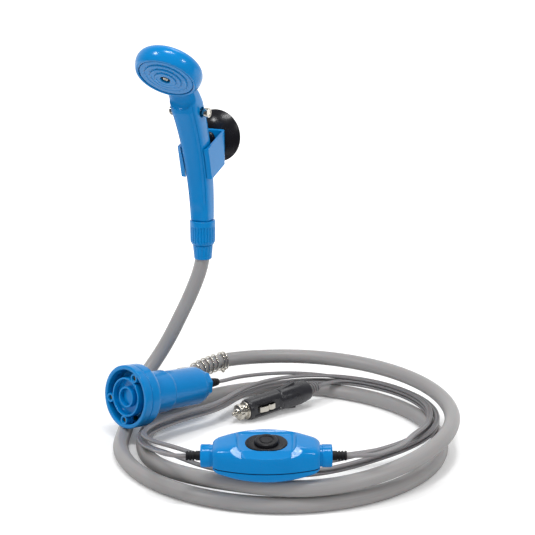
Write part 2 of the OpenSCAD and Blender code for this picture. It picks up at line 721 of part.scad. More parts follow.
// holder with its suction cup
module holder_bracket() {
    color(blue) at_hand() difference() {
        translate([-holder_x - holder_wall, 0, 0]) rotate([90, 0, 90])
            linear_extrude(2 * (holder_x + holder_wall)) polygon([
                [plate_y, holder_z1], [plate_y, holder_z0],
                [grip_y(lip_z0) - lip_out, lip_z0], [grip_y(lip_z1) - lip_out, lip_z1]]);
        translate([-holder_x, -6, saddle_z])
            cube([2 * holder_x, plate_y - holder_wall + 6, holder_h * 2]);
        translate([-holder_x, saddle_y, lip_z0 - holder_h])
            cube([2 * holder_x, plate_y - holder_wall - saddle_y, holder_h * 3]);
        grip_solid(holder_gap);
        translate([0, plate_y + over, holder_z]) rotate([90, 0, 0]) cylinder(r = stem_r + fit, h = holder_wall + 2 * over);
    }
}
module suction_cup() {
    y0 = cup_y;
    y1 = cup_y + 2;
    rim = cup_d / 2;
    color(black) at_cup() rotate_extrude() polygon(concat(
        [[0, plate_y - holder_wall - fit - 0.1 - knob_t], [knob_r - 1, plate_y - holder_wall - fit - 0.1 - knob_t],
            [knob_r, plate_y - holder_wall - fit - 1.1], [knob_r, plate_y - holder_wall - fit - 0.1],
            [stem_r, plate_y - holder_wall - fit - 0.1], [stem_r, y0], [collar_r, y0], [collar_r, y1]],
        [for (k = [1 : 7]) let (t = k / 7) [collar_r + (rim - collar_r) * t, y1 + (cup_depth - 1) * t * t]],
        [[rim, y1 + cup_depth], [rim - 1.6, y1 + cup_depth]],
        [for (k = [1 : 7]) let (t = 1 - k / 7)
            [(rim - 1.6 - cup_wall) * t, y1 + cup_wall + (cup_depth - 1 - cup_wall) * t * t]]));
}

// pump, front to rear
module inlet_cover() {
    color(blue) at_pump() difference() {
        union() {
            pipe(flange_d / 2, slot_r1, 0, cover_len);
            disc(flange_d / 2 - 1, dish_z, cover_len);
            pipe(ring1_r, ring1_r - ring1_w, 0, cover_len);
            pipe(ring2_r, ring2_r - ring2_w, 0.5, cover_len);
            for (a = screw_angles) rotate([0, 0, a]) translate([boss_pr, 0, 0.3]) cylinder(r = boss_r, h = cover_len - 0.3);
        }
        difference() {
            pipe(slot_r1, slot_r0, dish_z - over, cover_len + over);
            for (a = screw_angles) rotate([0, 0, a]) translate([boss_pr, 0, 0]) cylinder(r = boss_r + 1, h = 2 * cover_len);
        }
        for (a = screw_angles) rotate([0, 0, a]) translate([boss_pr, 0, 0]) {
            disc(brass_r + 0.1, -over, cover_len + over);
            disc(brass_head_r + 0.3, -over, brass_z);
        }
    }
}
module cover_screws() {
    color(brassy) at_pump() for (a = screw_angles) rotate([0, 0, a]) translate([boss_pr, 0, 0]) {
        disc(brass_head_r, brass_z - 1.6, brass_z);
        disc(brass_r, brass_z - 0.5, bell_z - 2);
    }
}
module pump_bell() {
    color(blue) at_pump() difference() {
        union() {
            disc(bell_r, cover_len, bell_z - 3);
            translate([0, 0, bell_z - 3]) cylinder(r1 = bell_r, r2 = bell_r - 2, h = 3);
        }
        difference() {
            disc(bell_in_r, cover_len - over, outlet_z0);
            for (a = screw_angles) rotate([0, 0, a]) translate([boss_pr, 0, 0]) cylinder(r = boss_r, h = bell_z);
        }
        for (a = screw_angles) rotate([0, 0, a]) translate([boss_pr, 0, 0])
            disc(brass_r + 0.1, cover_len - over, bell_z - 1.5);
        disc(seal_r, outlet_z0 - over, bell_z + over);
        rotate([0, 0, outlet_at]) translate([outlet_off, 0, 0]) disc(outlet_r, outlet_z0 - over, bell_z + over);
    }
}
module shaft_seal() {
    color(black) at_pump() pipe(seal_r, shaft_r + run, outlet_z0, bell_z);
}
module impeller() {
    color(black) at_pump() difference() {
        union() {
            disc(impeller_r, impeller_z + impeller_h - 1.5, impeller_z + impeller_h);
            disc(shaft_r + 2, impeller_z, impeller_z + impeller_h);
            for (a = [0 : 60 : 300]) rotate([0, 0, a])
                translate([shaft_r + 1, -0.7, impeller_z]) cube([impeller_r - shaft_r - 1.5, 1.4, impeller_h]);
        }
        disc(shaft_r, impeller_z - over, impeller_z + impeller_h + over);
    }
}
module motor_shaft() {
    color(nickel) at_pump() disc(shaft_r, impeller_z, plate_z + holder_t + 1);
}
module pump_shell() {
    color(blue) at_pump() difference() {
        union() {
            disc(neck_d / 2, bell_z, neck_z - 2);
            translate([0, 0, neck_z - 2]) cylinder(r1 = neck_d / 2, r2 = body_d / 2, h = 2);
            disc(body_d / 2, neck_z - 1, body_z - 1);
            translate([0, 0, body_z - 1]) cylinder(r1 = body_d / 2, r2 = body_d / 2 - 1, h = 1);
        }
        disc(shell_in_r, bell_z + front_wall, body_z + over);
        disc(bearing_r, bell_z - over, bell_z + front_wall + over);
    }
}
module front_bearing() {
    color(brassy) at_pump() pipe(bearing_r, shaft_r + run, bell_z + 0.5, bell_z + front_wall);
}
module motor_can() {
    color(iron) at_pump() pipe(can_r, can_r - can_t, can_z0, plate_z + holder_t + 2);
}
module motor_magnets() {
    color(iron) at_pump() difference() {
        pipe(magnet_r, magnet_r - magnet_t, arm_z0 - 2, arm_z0 + arm_len + 2);
        translate([-2, -2 * can_r, arm_z0 - 4]) cube([4, 4 * can_r, arm_len + 8]);
    }
}
module armature() {
    color(brassy) at_pump() difference() {
        pipe(arm_r, shaft_r, arm_z0, arm_z0 + arm_len);
        for (a = [0 : 60 : 300]) rotate([0, 0, a]) translate([arm_r - 3.2, -0.8, arm_z0 - over])
            cube([4, 1.6, arm_len + 2 * over]);
    }
}
module commutator() {
    color(brassy) at_pump() pipe(comm_r, shaft_r, comm_z, comm_z + comm_len);
}
module motor_brushes() {
    color(black) at_pump() for (a = [0, 180]) rotate([0, 0, a])
        translate([comm_r + fit, -1.6, comm_z + 3]) cube([4.2, 3.2, plate_z - comm_z - 3]);
}
module brush_plate() {
    color(black) at_pump() pipe(can_r - can_t - 0.05, bearing_r, plate_z, plate_z + holder_t);
}
module rear_bearing() {
    color(brassy) at_pump() pipe(bearing_r, shaft_r + run, plate_z, plate_z + holder_t);
}
module rear_cap() {
    color(blue) at_pump() difference() {
        union() {
            translate([0, 0, body_z]) rotate([0, 0, 22.5])
                cylinder(r = cap_af / 2 / cos(22.5), h = cap_len, $fn = 8);
            disc(body_d / 2 - 1.6, body_z, body_z + 3);
            disc(cap_ring_r, body_z - cap_ring_len, body_z);
        }
        disc(cap_ring_r - 2, body_z - cap_ring_len - over, body_z);
        disc(gland_d / 2, gland_z, cap_z + over);
    }
}
module cable_gland() {
    color(black) at_pump() difference() {
        union() {
            disc(gland_d / 2, gland_z, cap_z + 8);
            translate([0, 0, cap_z + 8]) cylinder(r1 = gland_d / 2, r2 = gland_d / 2 - 1.2, h = gland_end - cap_z - 8);
        }
        for (z = [cap_z + 3 : 3 : gland_end - 4]) pipe(gland_d, gland_d / 2 - 0.9, z, z + 1);
    }
}
module outlet_tube() {
    color(blue) at_pump() rotate([0, 0, outlet_at]) translate([outlet_off, 0, 0]) difference() {
        union() {
            disc(outlet_r, outlet_z0, outlet_end);
            disc(outlet_collar_r, bell_z, bell_z + 3);
        }
        disc(outlet_bore, outlet_z0 - over, outlet_end + over);
    }
}
module hose_cuff() {
    color(grey) at_pump() rotate([0, 0, outlet_at]) translate([outlet_off, 0, 0]) difference() {
        disc(hose_d / 2, cuff_z0, cuff_z1);
        disc(outlet_r, cuff_z0 - over, outlet_end);
        disc(hose_d / 2 - hose_wall, outlet_end - over, cuff_z1 + over);
    }
}
module kink_spring() {
    color(nickel) tube(spring_path, unit(spring_pt(1) - spring_pt(-1)),
        unit(spring_pt(spring_sweep + 1) - spring_pt(spring_sweep - 1)), spring_ring,
        lead_tan(0.4));
}
module hose_clip() {
    d = lead_tan(clip_t);
    color(nickel) translate(lead_pt(clip_t)) rotate([0, 0, atan2(d.y, d.x)]) rotate([0, acos(d.z), 0]) {
        for (z = [-1.6, 1.6]) translate([0, 0, z]) rotate_extrude()
            translate([spring_r + 0.2, 0]) circle(d = wire_d, $fn = 16);
        translate([spring_r + 0.6, 0, -2.6]) cylinder(r = 1.5, h = 5.2);
        translate([spring_r + 2.4, 0, 0]) sphere(r = 1.8, $fn = 24);
    }
}

// hose and cable
module hose_lead() {
    color(grey) tube(lead_path, lead_t0, coil_t0, hose_ring);
}
module hose_coil() {
    color(grey) tube(coil_path, coil_t0, coil_t1, hose_ring);
}
module hose_riser() {
    color(grey) tube(riser_path, coil_t1, [0, 0, 1], hose_ring, [cos(case_heading), sin(case_heading), 0]);
}
module cable_lead_pump() {
    color(grey) tube(pump_lead_path, pump_dir([0, 0, 1]), coil_a_t0, cable_ring);
}
module cable_coil_pump() {
    color(grey) tube(coil_a_path, coil_a_t0, coil_a_t1, cable_ring);
}
module cable_lead_in() {
    color(grey) tube(case_in_path, coil_a_t1, case_dir([1, 0, 0]), cable_ring);
}
module cable_lead_out() {
    color(grey) tube(case_out_path, case_dir([1, 0, 0]), coil_b_t0, cable_ring);
}
module cable_coil_plug() {
    color(grey) tube(coil_b_path, coil_b_t0, coil_b_t1, cable_ring);
}
module cable_lead_plug() {
    color(grey) tube(plug_lead_path, coil_b_t1, plug_dir([0, 0, -1]), cable_ring);
}

// switch
module case_solid(grow) {
    half = case_len / 2 + grow;
    skin([for (k = [0 : case_steps]) case_ring(-half + 2 * half * k / case_steps, grow)]);
}
module along_x(r, x0, x1) {
    translate([x0, 0, 0]) rotate([0, 90, 0]) cylinder(r = r, h = x1 - x0);
}
module case_shape() {
    difference() {
        union() {
            case_solid(0);
            along_x(collar_d / 2, -case_len / 2 - collar_len, case_len / 2 + collar_len);
        }
        case_solid(-case_wall);
        for (s = [-1, 1]) scale([s, 1, 1]) along_x(relief_d / 2, case_len / 2 - case_wall - over, case_end);
        dish(0);
    }
}
module dish(drop) {
    deep = dish_h + drop;
    translate([0, 0, case_flat - drop]) cylinder(r1 = dish_r, r2 = dish_r + dish_slope * deep, h = deep);
}
module oval(len, w, z0, z1) {
    translate([0, 0, z0]) linear_extrude(z1 - z0) union() {
        square([len - w, w], center = true);
        for (s = [-1, 1]) translate([s * (len - w) / 2, 0]) circle(d = w);
    }
}
module case_screw_posts(r, z0, z1) {
    for (s = [-1, 1]) translate([s * case_screw_x, 0, 0]) disc(r, z0, z1);
}
module switch_upper() {
    color(blue) at_case() difference() {
        union() {
            intersection() {
                case_shape();
                translate([-case_end, -case_w, seam_z]) cube([2 * case_end, 2 * case_w, case_h]);
            }
            difference() {
                intersection() {
                    case_solid(-case_wall / 2);
                    dish(case_wall);
                }
                dish(0);
            }
            intersection() {
                case_screw_posts(case_screw_r + 2, seam_z, post_top);
                case_solid(-case_wall / 2);
            }
        }
        disc(button_lip + fit, case_flat - 2 * case_wall, case_flat + over);
        case_screw_posts(case_screw_r, seam_z - over, seam_z + 8);
    }
}
module switch_lower() {
    color(blue) at_case() difference() {
        union() {
            intersection() {
                case_shape();
                translate([-case_end, -case_w, -case_h]) cube([2 * case_end, 2 * case_w, case_h + seam_z]);
            }
            intersection() {
                case_screw_posts(case_screw_head + 1.6, -case_h, seam_z);
                case_solid(-case_wall / 2);
            }
        }
        case_screw_posts(case_screw_r + 0.2, -case_h, seam_z + over);
        case_screw_posts(case_screw_head + 0.2, -case_h, seam_z - 3);
    }
}
module switch_screws() {
    color(nickel) at_case() {
        case_screw_posts(case_screw_r, seam_z - 4, seam_z + 7);
        case_screw_posts(case_screw_head, seam_z - 5, seam_z - 3);
    }
}
module switch_plate() {
    color(black) at_case() difference() {
        oval(oval_len, oval_w, case_flat, case_flat + oval_t);
        disc(button_r + fit, case_flat - over, case_flat + oval_t + over);
    }
}
module switch_button() {
    color(black) at_case() difference() {
        union() {
            disc(button_lip, lip_low, lip_top);
            disc(button_r, lip_low, button_top - 1);
            translate([0, 0, button_top - 1]) cylinder(r1 = button_r, r2 = button_r - 1, h = 1);
        }
        pipe(button_r * 0.62, button_r * 0.52, button_top - 0.6, button_top + over);
    }
}
module switch_module() {
    color(black) at_case() {
        translate([-module_w.x / 2, -module_w.y / 2, module_top - module_w.z]) cube(module_w);
        translate([-1.5, -foot_w / 2, -case_h / 2 + case_wall + fit])
            cube([3, foot_w, module_top + case_h / 2 - case_wall - 1]);
    }
}
module button_spring() {
    color(nickel) at_case() pipe(4, 3, module_top, module_top + spring_len);
}
module relief(s) {
    color(black) at_case() scale([s, 1, 1]) difference() {
        union() {
            along_x(relief_d / 2, case_len / 2 - case_wall, case_end);
            along_x(relief_d / 2 + 1.2, case_len / 2 - case_wall - 3, case_len / 2 - case_wall - 0.9);
            along_x(relief_d / 2, case_len / 2 - case_wall - 1.2, case_len / 2);
        }
        for (k = [0 : 2]) difference() {
            along_x(relief_d, case_end - 8 + 2.6 * k, case_end - 7 + 2.6 * k);
            along_x(relief_d / 2 - 0.8, case_end - 9 + 2.6 * k, case_end - 6 + 2.6 * k);
        }
    }
}
module relief_left() { relief(-1); }
module relief_right() { relief(1); }

// plug
module plug_body() {
    color(black) at_plug() difference() {
        union() {
            disc(barrel_d / 2 - 1, barrel_z, barrel_z + 2);
            disc(barrel_d / 2, barrel_z + 1.5, rear_z - 3);
            translate([0, 0, rear_z - 3]) cylinder(r1 = barrel_d / 2 - 1.5, r2 = rear_d / 2, h = 3);
            disc(rear_d / 2, rear_z, rear_z + rear_len * 0.6);
            translate([0, 0, rear_z + rear_len * 0.6])
                cylinder(r1 = rear_d / 2, r2 = rear_d / 2 - 2, h = rear_len * 0.4);
            for (s = [-1, 1]) scale([s, 1, 1]) rotate([90, 0, 0]) translate([0, 0, -fin_t / 2])
                linear_extrude(fin_t) polygon([[0, rear_z - 1], [rear_d / 2 - 0.5, rear_z - 1],
                    [fin_r, rear_z - 1 + fin_len], [0, rear_z - 1 + fin_len]]);
        }
        disc(tube_r, barrel_z - over, fuse_z + fuse_len + 2);
        for (s = [-1, 1]) scale([1, s, 1]) translate([-contact_w / 2 - fit, contact_in - contact_travel - fit, slot_z0 - fit])
            cube([contact_w + 2 * fit, barrel_d, slot_len + 2 * fit]);
        disc(tail_r0 - 1.4, tail_z - 6, tail_z + over);
    }
}
module plug_nose() {
    color(nickel) at_plug() difference() {
        union() {
            disc(nose_d / 2 - 2, nose_z, nose_z + 2.5);
            disc(nose_d / 2 - 0.7, nose_z + 2, barrel_z);
            for (k = [0 : 2]) disc(nose_d / 2, nose_z + 3.4 + 2.4 * k, nose_z + 4.6 + 2.4 * k);
            disc(nose_d / 2 + 1.2, barrel_z - 2.4, barrel_z);
        }
        disc(tip_d / 2 + run, nose_z - over, barrel_z + over);
        disc(tube_r, nose_z + 4, barrel_z + over);
    }
}
module plug_tip() {
    color(nickel) at_plug() {
        translate([0, 0, 0]) cylinder(r1 = tip_d / 2 - 1, r2 = tip_d / 2, h = 1.4);
        disc(tip_d / 2, 1.4, tip_len);
        disc(tip_collar_r, nose_z + 4 + fit, nose_z + 4 + fit + tip_collar_t);
    }
}
module tip_spring() {
    color(nickel) at_plug() pipe(tip_collar_r, tip_collar_r - 0.8, tip_len + tip_travel + 0.4, fuse_z);
}
module plug_fuse() {
    color(nickel) at_plug() {
        disc(fuse_r - 0.3, fuse_z, fuse_z + fuse_len);
        disc(fuse_r, fuse_z, fuse_z + 5);
        disc(fuse_r, fuse_z + fuse_len - 5, fuse_z + fuse_len);
    }
}
module side_contact(s) {
    r0 = contact_in;
    r1 = barrel_d / 2 + contact_out;
    color(nickel) at_plug() scale([1, s, 1]) translate([contact_w / 2, 0, slot_z0]) rotate([0, -90, 0])
        linear_extrude(contact_w) polygon([[0, r0], [slot_len, r0], [slot_len, barrel_d / 2 - 1.2],
            [slot_len * 0.78, r1 - 0.5], [slot_len * 0.5, r1], [slot_len * 0.22, r1 - 0.5], [0, barrel_d / 2 - 1.2]]);
}
module side_contact_front() { side_contact(-1); }
module side_contact_back() { side_contact(1); }
module plug_relief() {
    color(grey) at_plug() difference() {
        union() {
            disc(tail_r0 - 1.4, tail_z - 6, tail_z);
            translate([0, 0, tail_z]) cylinder(r1 = tail_r0, r2 = tail_r0 - 1.2, h = tail_len);
        }
        for (k = [0 : tail_ribs - 1]) pipe(2 * tail_r0, tail_r0 - 1.9, tail_z + 1.6 + 2.8 * k, tail_z + 2.9 + 2.8 * k);
    }
}

handset_body();
spray_plate();
plate_gasket();
plate_screw();
flow_pin();
flow_pin_cap();
pin_seals();
hose_tail();
tail_washer();
hose_nut();
hose_sleeve();
holder_bracket();
suction_cup();
inlet_cover();
cover_screws();
pump_bell();
shaft_seal();
impeller();
motor_shaft();
pump_shell();
front_bearing();
motor_can();
motor_magnets();
armature();
commutator();
motor_brushes();
brush_plate();
rear_bearing();
rear_cap();
cable_gland();
outlet_tube();
hose_cuff();
kink_spring();
hose_clip();
hose_lead();
hose_coil();
hose_riser();
cable_lead_pump();
cable_coil_pump();
cable_lead_in();
cable_lead_out();
cable_coil_plug();
cable_lead_plug();
switch_upper();
switch_lower();
switch_screws();
switch_plate();
switch_button();
switch_module();
button_spring();
relief_left();
relief_right();
plug_body();
plug_nose();
plug_tip();
tip_spring();
plug_fuse();
side_contact_front();
side_contact_back();
plug_relief();
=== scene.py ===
# %% [markdown]
# # Camp shower pump set
# A small pump goes into a bucket, a grey hose carries the water to a hand shower, and a flat
# cable brings twelve volts from a lighter plug through a push switch. The measured solids are
# loaded first and stay fixed. Each visible piece is then worked out again as a fine surface in
# the same place, so that the picture gets soft edges and the moving parts keep their joints.

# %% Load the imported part
import math

import bmesh
import bpy
import numpy as np
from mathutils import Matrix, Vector


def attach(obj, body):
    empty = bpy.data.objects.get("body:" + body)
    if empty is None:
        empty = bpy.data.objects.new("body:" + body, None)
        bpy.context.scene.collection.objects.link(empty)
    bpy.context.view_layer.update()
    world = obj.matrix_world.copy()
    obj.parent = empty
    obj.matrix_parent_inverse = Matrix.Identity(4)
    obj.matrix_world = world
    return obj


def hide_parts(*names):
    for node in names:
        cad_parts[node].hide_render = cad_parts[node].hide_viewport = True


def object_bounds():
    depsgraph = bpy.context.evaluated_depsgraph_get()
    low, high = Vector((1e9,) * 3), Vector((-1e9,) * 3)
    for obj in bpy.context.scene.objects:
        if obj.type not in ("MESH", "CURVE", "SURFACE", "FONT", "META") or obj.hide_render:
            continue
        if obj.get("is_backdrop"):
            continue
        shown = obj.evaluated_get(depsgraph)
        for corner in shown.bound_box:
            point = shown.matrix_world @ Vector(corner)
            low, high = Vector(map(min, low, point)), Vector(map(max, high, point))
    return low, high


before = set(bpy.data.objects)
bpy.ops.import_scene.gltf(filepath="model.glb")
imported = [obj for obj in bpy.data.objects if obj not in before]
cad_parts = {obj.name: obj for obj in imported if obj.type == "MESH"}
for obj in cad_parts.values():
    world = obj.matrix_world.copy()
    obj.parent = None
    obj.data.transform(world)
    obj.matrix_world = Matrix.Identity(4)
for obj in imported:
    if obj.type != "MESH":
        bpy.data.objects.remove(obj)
cad_box = [list(corner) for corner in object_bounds()]
print("nodes", len(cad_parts), "box", np.round(cad_box, 4).tolist())

# %% [markdown]
# ## Four places to work in
# The hand shower stands upright, but the pump, the switch and the plug lie at odd angles.
# Modelling them tilted would be hard to read. Each gets a place instead: a turn and an origin
# in millimetres. A shape is drawn upright and `placed` carries it over.

# %% Places
MM = 0.001


def turned(axis, degrees):
    """A matrix that turns the other two axes through the angle, right-handed about the named one."""
    c, s = math.cos(math.radians(degrees)), math.sin(math.radians(degrees))
    return np.array({
        "x": [[1, 0, 0], [0, c, -s], [0, s, c]],
        "y": [[c, 0, s], [0, 1, 0], [-s, 0, c]],
        "z": [[c, -s, 0], [s, c, 0], [0, 0, 1]],
    }[axis])


def placed(points, place):
    """Each point is turned by the place's matrix and then moved by its origin."""
    return np.asarray(points, float) @ place[0].T + place[1]


def inside(place, at, turn=np.eye(3)):
    """A place within a place: its origin is a point of the outer one, and its turn comes first."""
    return place[0] @ turn, placed(at, place)


HAND = (np.eye(3), np.array([-112, 63.5, 152]))
PUMP = (turned("z", 71) @ turned("y", 97.4), np.array([-134.6, -51, 44]))
CASE = (turned("z", 25) @ turned("x", 10), np.array([45, -128, 47]))
PLUG = (turned("z", 60.5) @ turned("y", 86.1), np.array([-65, 30.5, 9.8]))
ALONG_X = turned("y", 90)
print("pump axis", np.round(PUMP[0][:, 2], 3), "plug axis", np.round(PLUG[0][:, 2], 3))

# %% [markdown]
# ## Camera
# The photograph looks at the set from the right of the front and from a little above, with a
# long lens. A long lens keeps the ellipse of the coil calm. Position, turn and lens come from
# the outline of the coil and of the pump's round front.

# %% Camera
camera_data = bpy.data.cameras.new("camera")
camera_data.sensor_width = 36
camera_data.lens = 93.7
camera = bpy.data.objects.new("camera", camera_data)
camera.location = (0.4954, -1.0916, 0.4918)
camera.rotation_euler = (math.radians(75), 0, math.radians(25))
bpy.context.scene.collection.objects.link(camera)
bpy.context.scene.camera = camera
print("camera", tuple(round(x, 3) for x in camera.location), "lens", camera_data.lens)

# %% [markdown]
# ## Curves and surfaces
# Almost everything here is a profile turned about an axis or a section carried along a path.
# Both give rings of points, and rings are a grid. Blender has modifiers for this, but a grid of
# numbers shows how a surface comes about, and whole arrays keep it quick.

# %% Shape helpers
def unit(v):
    """Each vector divided by its own length."""
    return v / np.linalg.norm(v, axis=-1, keepdims=True)


def ease(a, b, x):
    """0 before a, 1 after b, and 3 t squared minus 2 t cubed in between."""
    t = np.clip((np.asarray(x, float) - a) / (b - a), 0, 1)
    return t * t * (3 - 2 * t)


def polar(r, a, z=0.0):
    """Points at a radius, an angle and a height: x = r cos a, y = r sin a."""
    return np.stack([r * np.cos(a), r * np.sin(a), z + 0 * a], -1)


def far_along(points):
    """The distance along a line at each of its points."""
    return np.concatenate([[0], np.cumsum(np.linalg.norm(np.diff(points, axis=0), axis=1))])


def soften(points, cut, steps=5):
    """Each inner corner becomes a parabola that starts and ends `cut` before and after it."""
    p = np.asarray(points, float)
    a, b, c = p[:-2], p[1:-1], p[2:]
    back, on = np.linalg.norm(a - b, axis=1), np.linalg.norm(c - b, axis=1)
    start = b + (a - b) * (np.minimum(cut, 0.45 * back) / back)[:, None]
    end = b + (c - b) * (np.minimum(cut, 0.45 * on) / on)[:, None]
    t = np.linspace(0, 1, steps)[None, :, None]
    bent = (1 - t) ** 2 * start[:, None] + 2 * t * (1 - t) * b[:, None] + t ** 2 * end[:, None]
    return np.concatenate([p[:1], bent.reshape(-1, p.shape[1]), p[-1:]])


def capped(rings):
    """The middles of the first and last ring are added as rings of no size, which close both ends."""
    ends = [np.repeat(r.mean(axis=0)[None, None], rings.shape[1], 1) for r in (rings[0], rings[-1])]
    return np.concatenate([ends[0], rings, ends[1]])


def lathe(profile, place, cut=0.4, sides=96, wave=None):
    """A profile of (radius, height) turned about the place's z axis.
    Corners are softened first. wave(r, z, a) may give another radius for each angle."""
    p = soften(profile, cut) if cut else np.asarray(profile, float)
    a = np.linspace(0, 2 * np.pi, sides, endpoint=False)[None]
    r, z = p[:, :1] + 0 * a, p[:, 1:] + 0 * a
    r = wave(r, z, a) if wave else r
    return placed(polar(r, a, z), place)


def swept(path, section, across):
    """A section of (side, up) carried along a path: side = tangent x across, up = side x tangent."""
    tangent = unit(np.gradient(path, axis=0))
    side = unit(np.cross(tangent, across))
    up = np.cross(side, tangent)
    return path[:, None] + section[:, :1] * side[:, None] + section[:, 1:] * up[:, None]


def circle(radius, sides):
    """Points at equal angles round a circle."""
    a = np.linspace(0, 2 * np.pi, sides, endpoint=False)
    return radius * np.stack([np.cos(a), np.sin(a)], -1)


def resampled(points, count):
    """The same line with points at equal distances along it."""
    p = np.asarray(points, float)
    far = far_along(p)
    at = np.linspace(0, far[-1], count)
    return np.stack([np.interp(at, far, p[:, k]) for k in range(p.shape[1])], -1)


def through(points, start, end, spacing):
    """A cubic through all points with no jump in bend, leaving along start and arriving along end.
    Its slopes solve one set of equations: the second derivatives on both sides of a point are equal."""
    p = np.asarray(points, float)
    h = np.linalg.norm(np.diff(p, axis=0), axis=1)
    n = len(p)
    matrix, right = np.eye(n), np.zeros_like(p)
    k = np.arange(1, n - 1)
    matrix[k, k - 1], matrix[k, k + 1] = 1 / h[:-1], 1 / h[1:]
    matrix[k, k] = 2 * (1 / h[:-1] + 1 / h[1:])
    step = np.diff(p, axis=0) / h[:, None] ** 2
    right[1:-1] = 3 * (step[:-1] + step[1:])
    right[0], right[-1] = unit(np.asarray(start, float)), unit(np.asarray(end, float))
    slope = np.linalg.solve(matrix, right)
    knots = far_along(p)
    at = np.linspace(0, knots[-1], int(knots[-1] / spacing) + 1)
    i = np.clip(np.searchsorted(knots, at, side="right") - 1, 0, n - 2)
    t, w = ((at - knots[i]) / h[i])[:, None], h[i][:, None]
    return ((2 * t ** 3 - 3 * t ** 2 + 1) * p[i] + (t ** 3 - 2 * t ** 2 + t) * w * slope[i]
            + (3 * t ** 2 - 2 * t ** 3) * p[i + 1] + (t ** 3 - t ** 2) * w * slope[i + 1])


print("shape helpers ready")

# %% [markdown]
# ## From grids to a mesh
# A grid of rings becomes squares between neighbouring points. Rings of no size at the ends turn
# their squares into triangles once doubles are merged. Normals are recalculated after that, and
# edges sharper than a given angle stay crisp while the rest is shaded smooth.

# %% Mesh helpers
def ring_faces(grids):
    """Squares between neighbours in each grid; in a row the last point joins the first."""
    faces, first = [], 0
    for rows, columns in (g.shape[:2] for g in grids):
        i = first + columns * np.arange(rows - 1)[:, None]
        j = np.arange(columns)[None]
        k = (j + 1) % columns
        faces.append(np.stack([i + j, i + k, i + columns + k, i + columns + j], -1).reshape(-1, 4))
        first += rows * columns
    return np.concatenate(faces)


def shade(mesh, sharp):
    """Smooth faces, with edges that turn more than `sharp` degrees kept crisp."""
    mesh.polygons.foreach_set("use_smooth", np.ones(len(mesh.polygons), bool))
    mesh.set_sharp_from_angle(angle=math.radians(sharp))


def outward(mesh, sharp, merge):
    """Doubles merged where that is asked for, normals recalculated to point outward, then shaded."""
    work = bmesh.new()
    work.from_mesh(mesh)
    if merge:
        bmesh.ops.remove_doubles(work, verts=work.verts, dist=1e-6)
    bmesh.ops.recalc_face_normals(work, faces=work.faces)
    work.to_mesh(mesh)
    work.free()
    shade(mesh, sharp)


def welded(name, grids, sharp=38):
    """One closed mesh in metres from grids in millimetres."""
    mesh = bpy.data.meshes.new(name)
    points = np.concatenate([g.reshape(-1, 3) for g in grids]) * MM
    mesh.from_pydata(points.tolist(), [], ring_faces(grids).tolist())
    outward(mesh, sharp, merge=True)
    return mesh


def dressed(mesh, finish, body, nodes):
    """A piece at the origin with its place in its mesh, riding on a body, in place of CAD nodes."""
    piece = bpy.data.objects.new(mesh.name, mesh)
    mesh.materials.append(finish[0])
    bpy.context.scene.collection.objects.link(piece)
    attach(piece, body)
    if nodes:
        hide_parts(*nodes)
    print(piece.name, len(mesh.polygons), "faces on", body)
    return piece


def make(name, grids, finish, body, nodes=(), sharp=38):
    """A piece from grids."""
    return dressed(welded(name, grids, sharp), finish, body, nodes)


def spun(name, profile, place, finish, nodes=(), cut=0.4, sides=96, wave=None, body="set", sharp=38):
    """A piece that is one lathe."""
    return make(name, [lathe(profile, place, cut, sides, wave)], finish, body, nodes, sharp)


def cut_out(piece, grids, sharp=38):
    """Takes the volume of the grids from the piece, and keeps the result as its mesh."""
    tool = bpy.data.objects.new("cutter", welded("cutter", grids))
    bpy.context.scene.collection.objects.link(tool)
    cut = piece.modifiers.new("cut", "BOOLEAN")
    cut.object, cut.operation, cut.solver = tool, "DIFFERENCE", "EXACT"
    result = bpy.data.meshes.new_from_object(
        piece.evaluated_get(bpy.context.evaluated_depsgraph_get()))
    piece.modifiers.clear()
    piece.data = result
    shade(result, sharp)
    bpy.data.objects.remove(tool)
    print("  cut into", piece.name, "->", len(result.polygons), "faces")


print("mesh helpers ready")

# %% [markdown]
# ## Colours and nodes
# Colours are written as the sRGB hex values that a colour picker shows, and one function turns
# them into the linear values that the shader needs. Another small function adds a node, sets its
# properties and makes its links, so that each material reads as a short list.

# %% Material helpers
def linear(code):
    """sRGB to linear: c / 12.92 when dark, else ((c + 0.055) / 1.055) to the power 2.4."""
    c = np.array([int(code[k:k + 2], 16) for k in (1, 3, 5)]) / 255
    return (*np.where(c <= 0.04045, c / 12.92, ((c + 0.055) / 1.055) ** 2.4).tolist(), 1.0)


def add(tree, kind, links, **settings):
    """A new node: settings are its properties, and links give each input a value or an output."""
    made = tree.nodes.new(kind)
    for key, value in settings.items():
        setattr(made, key, value)
    for key, value in links.items():
        if isinstance(value, bpy.types.NodeSocket):
            tree.links.new(value, made.inputs[key])
        else:
            made.inputs[key].default_value = value
    return made


def blank(name, **constants):
    """A material with only its shader and output; constants go on the shader's own sockets."""
    material = bpy.data.materials.new(name)
    material.use_nodes = True
    tree = material.node_tree
    tree.nodes.clear()
    shader = add(tree, "ShaderNodeBsdfPrincipled", {k.replace("_", " "): v for k, v in constants.items()})
    add(tree, "ShaderNodeOutputMaterial", {"Surface": shader.outputs["BSDF"]})
    coords = add(tree, "ShaderNodeTexCoord", {})
    return material, tree, shader, coords.outputs["Object"]


def per_mm(size):
    """Noise scale for features of that size in millimetres, on coordinates in metres."""
    return 1000.0 / size


print("grey", np.round(linear("#808080")[:3], 3).tolist())

# %% [markdown]
# ## Blue ABS
# The housings are injection-moulded ABS from a polished tool: one strong colour, soft wide
# highlights and a faint flow of tone where the melt ran. A flat blue would look like paint. Two
# close blues drift over 30 mm, the gloss varies over 4 mm, and a very fine bump breaks the edge
# of each highlight. The real grain is near 0.1 mm; it is drawn at 0.6 mm so that it can show.

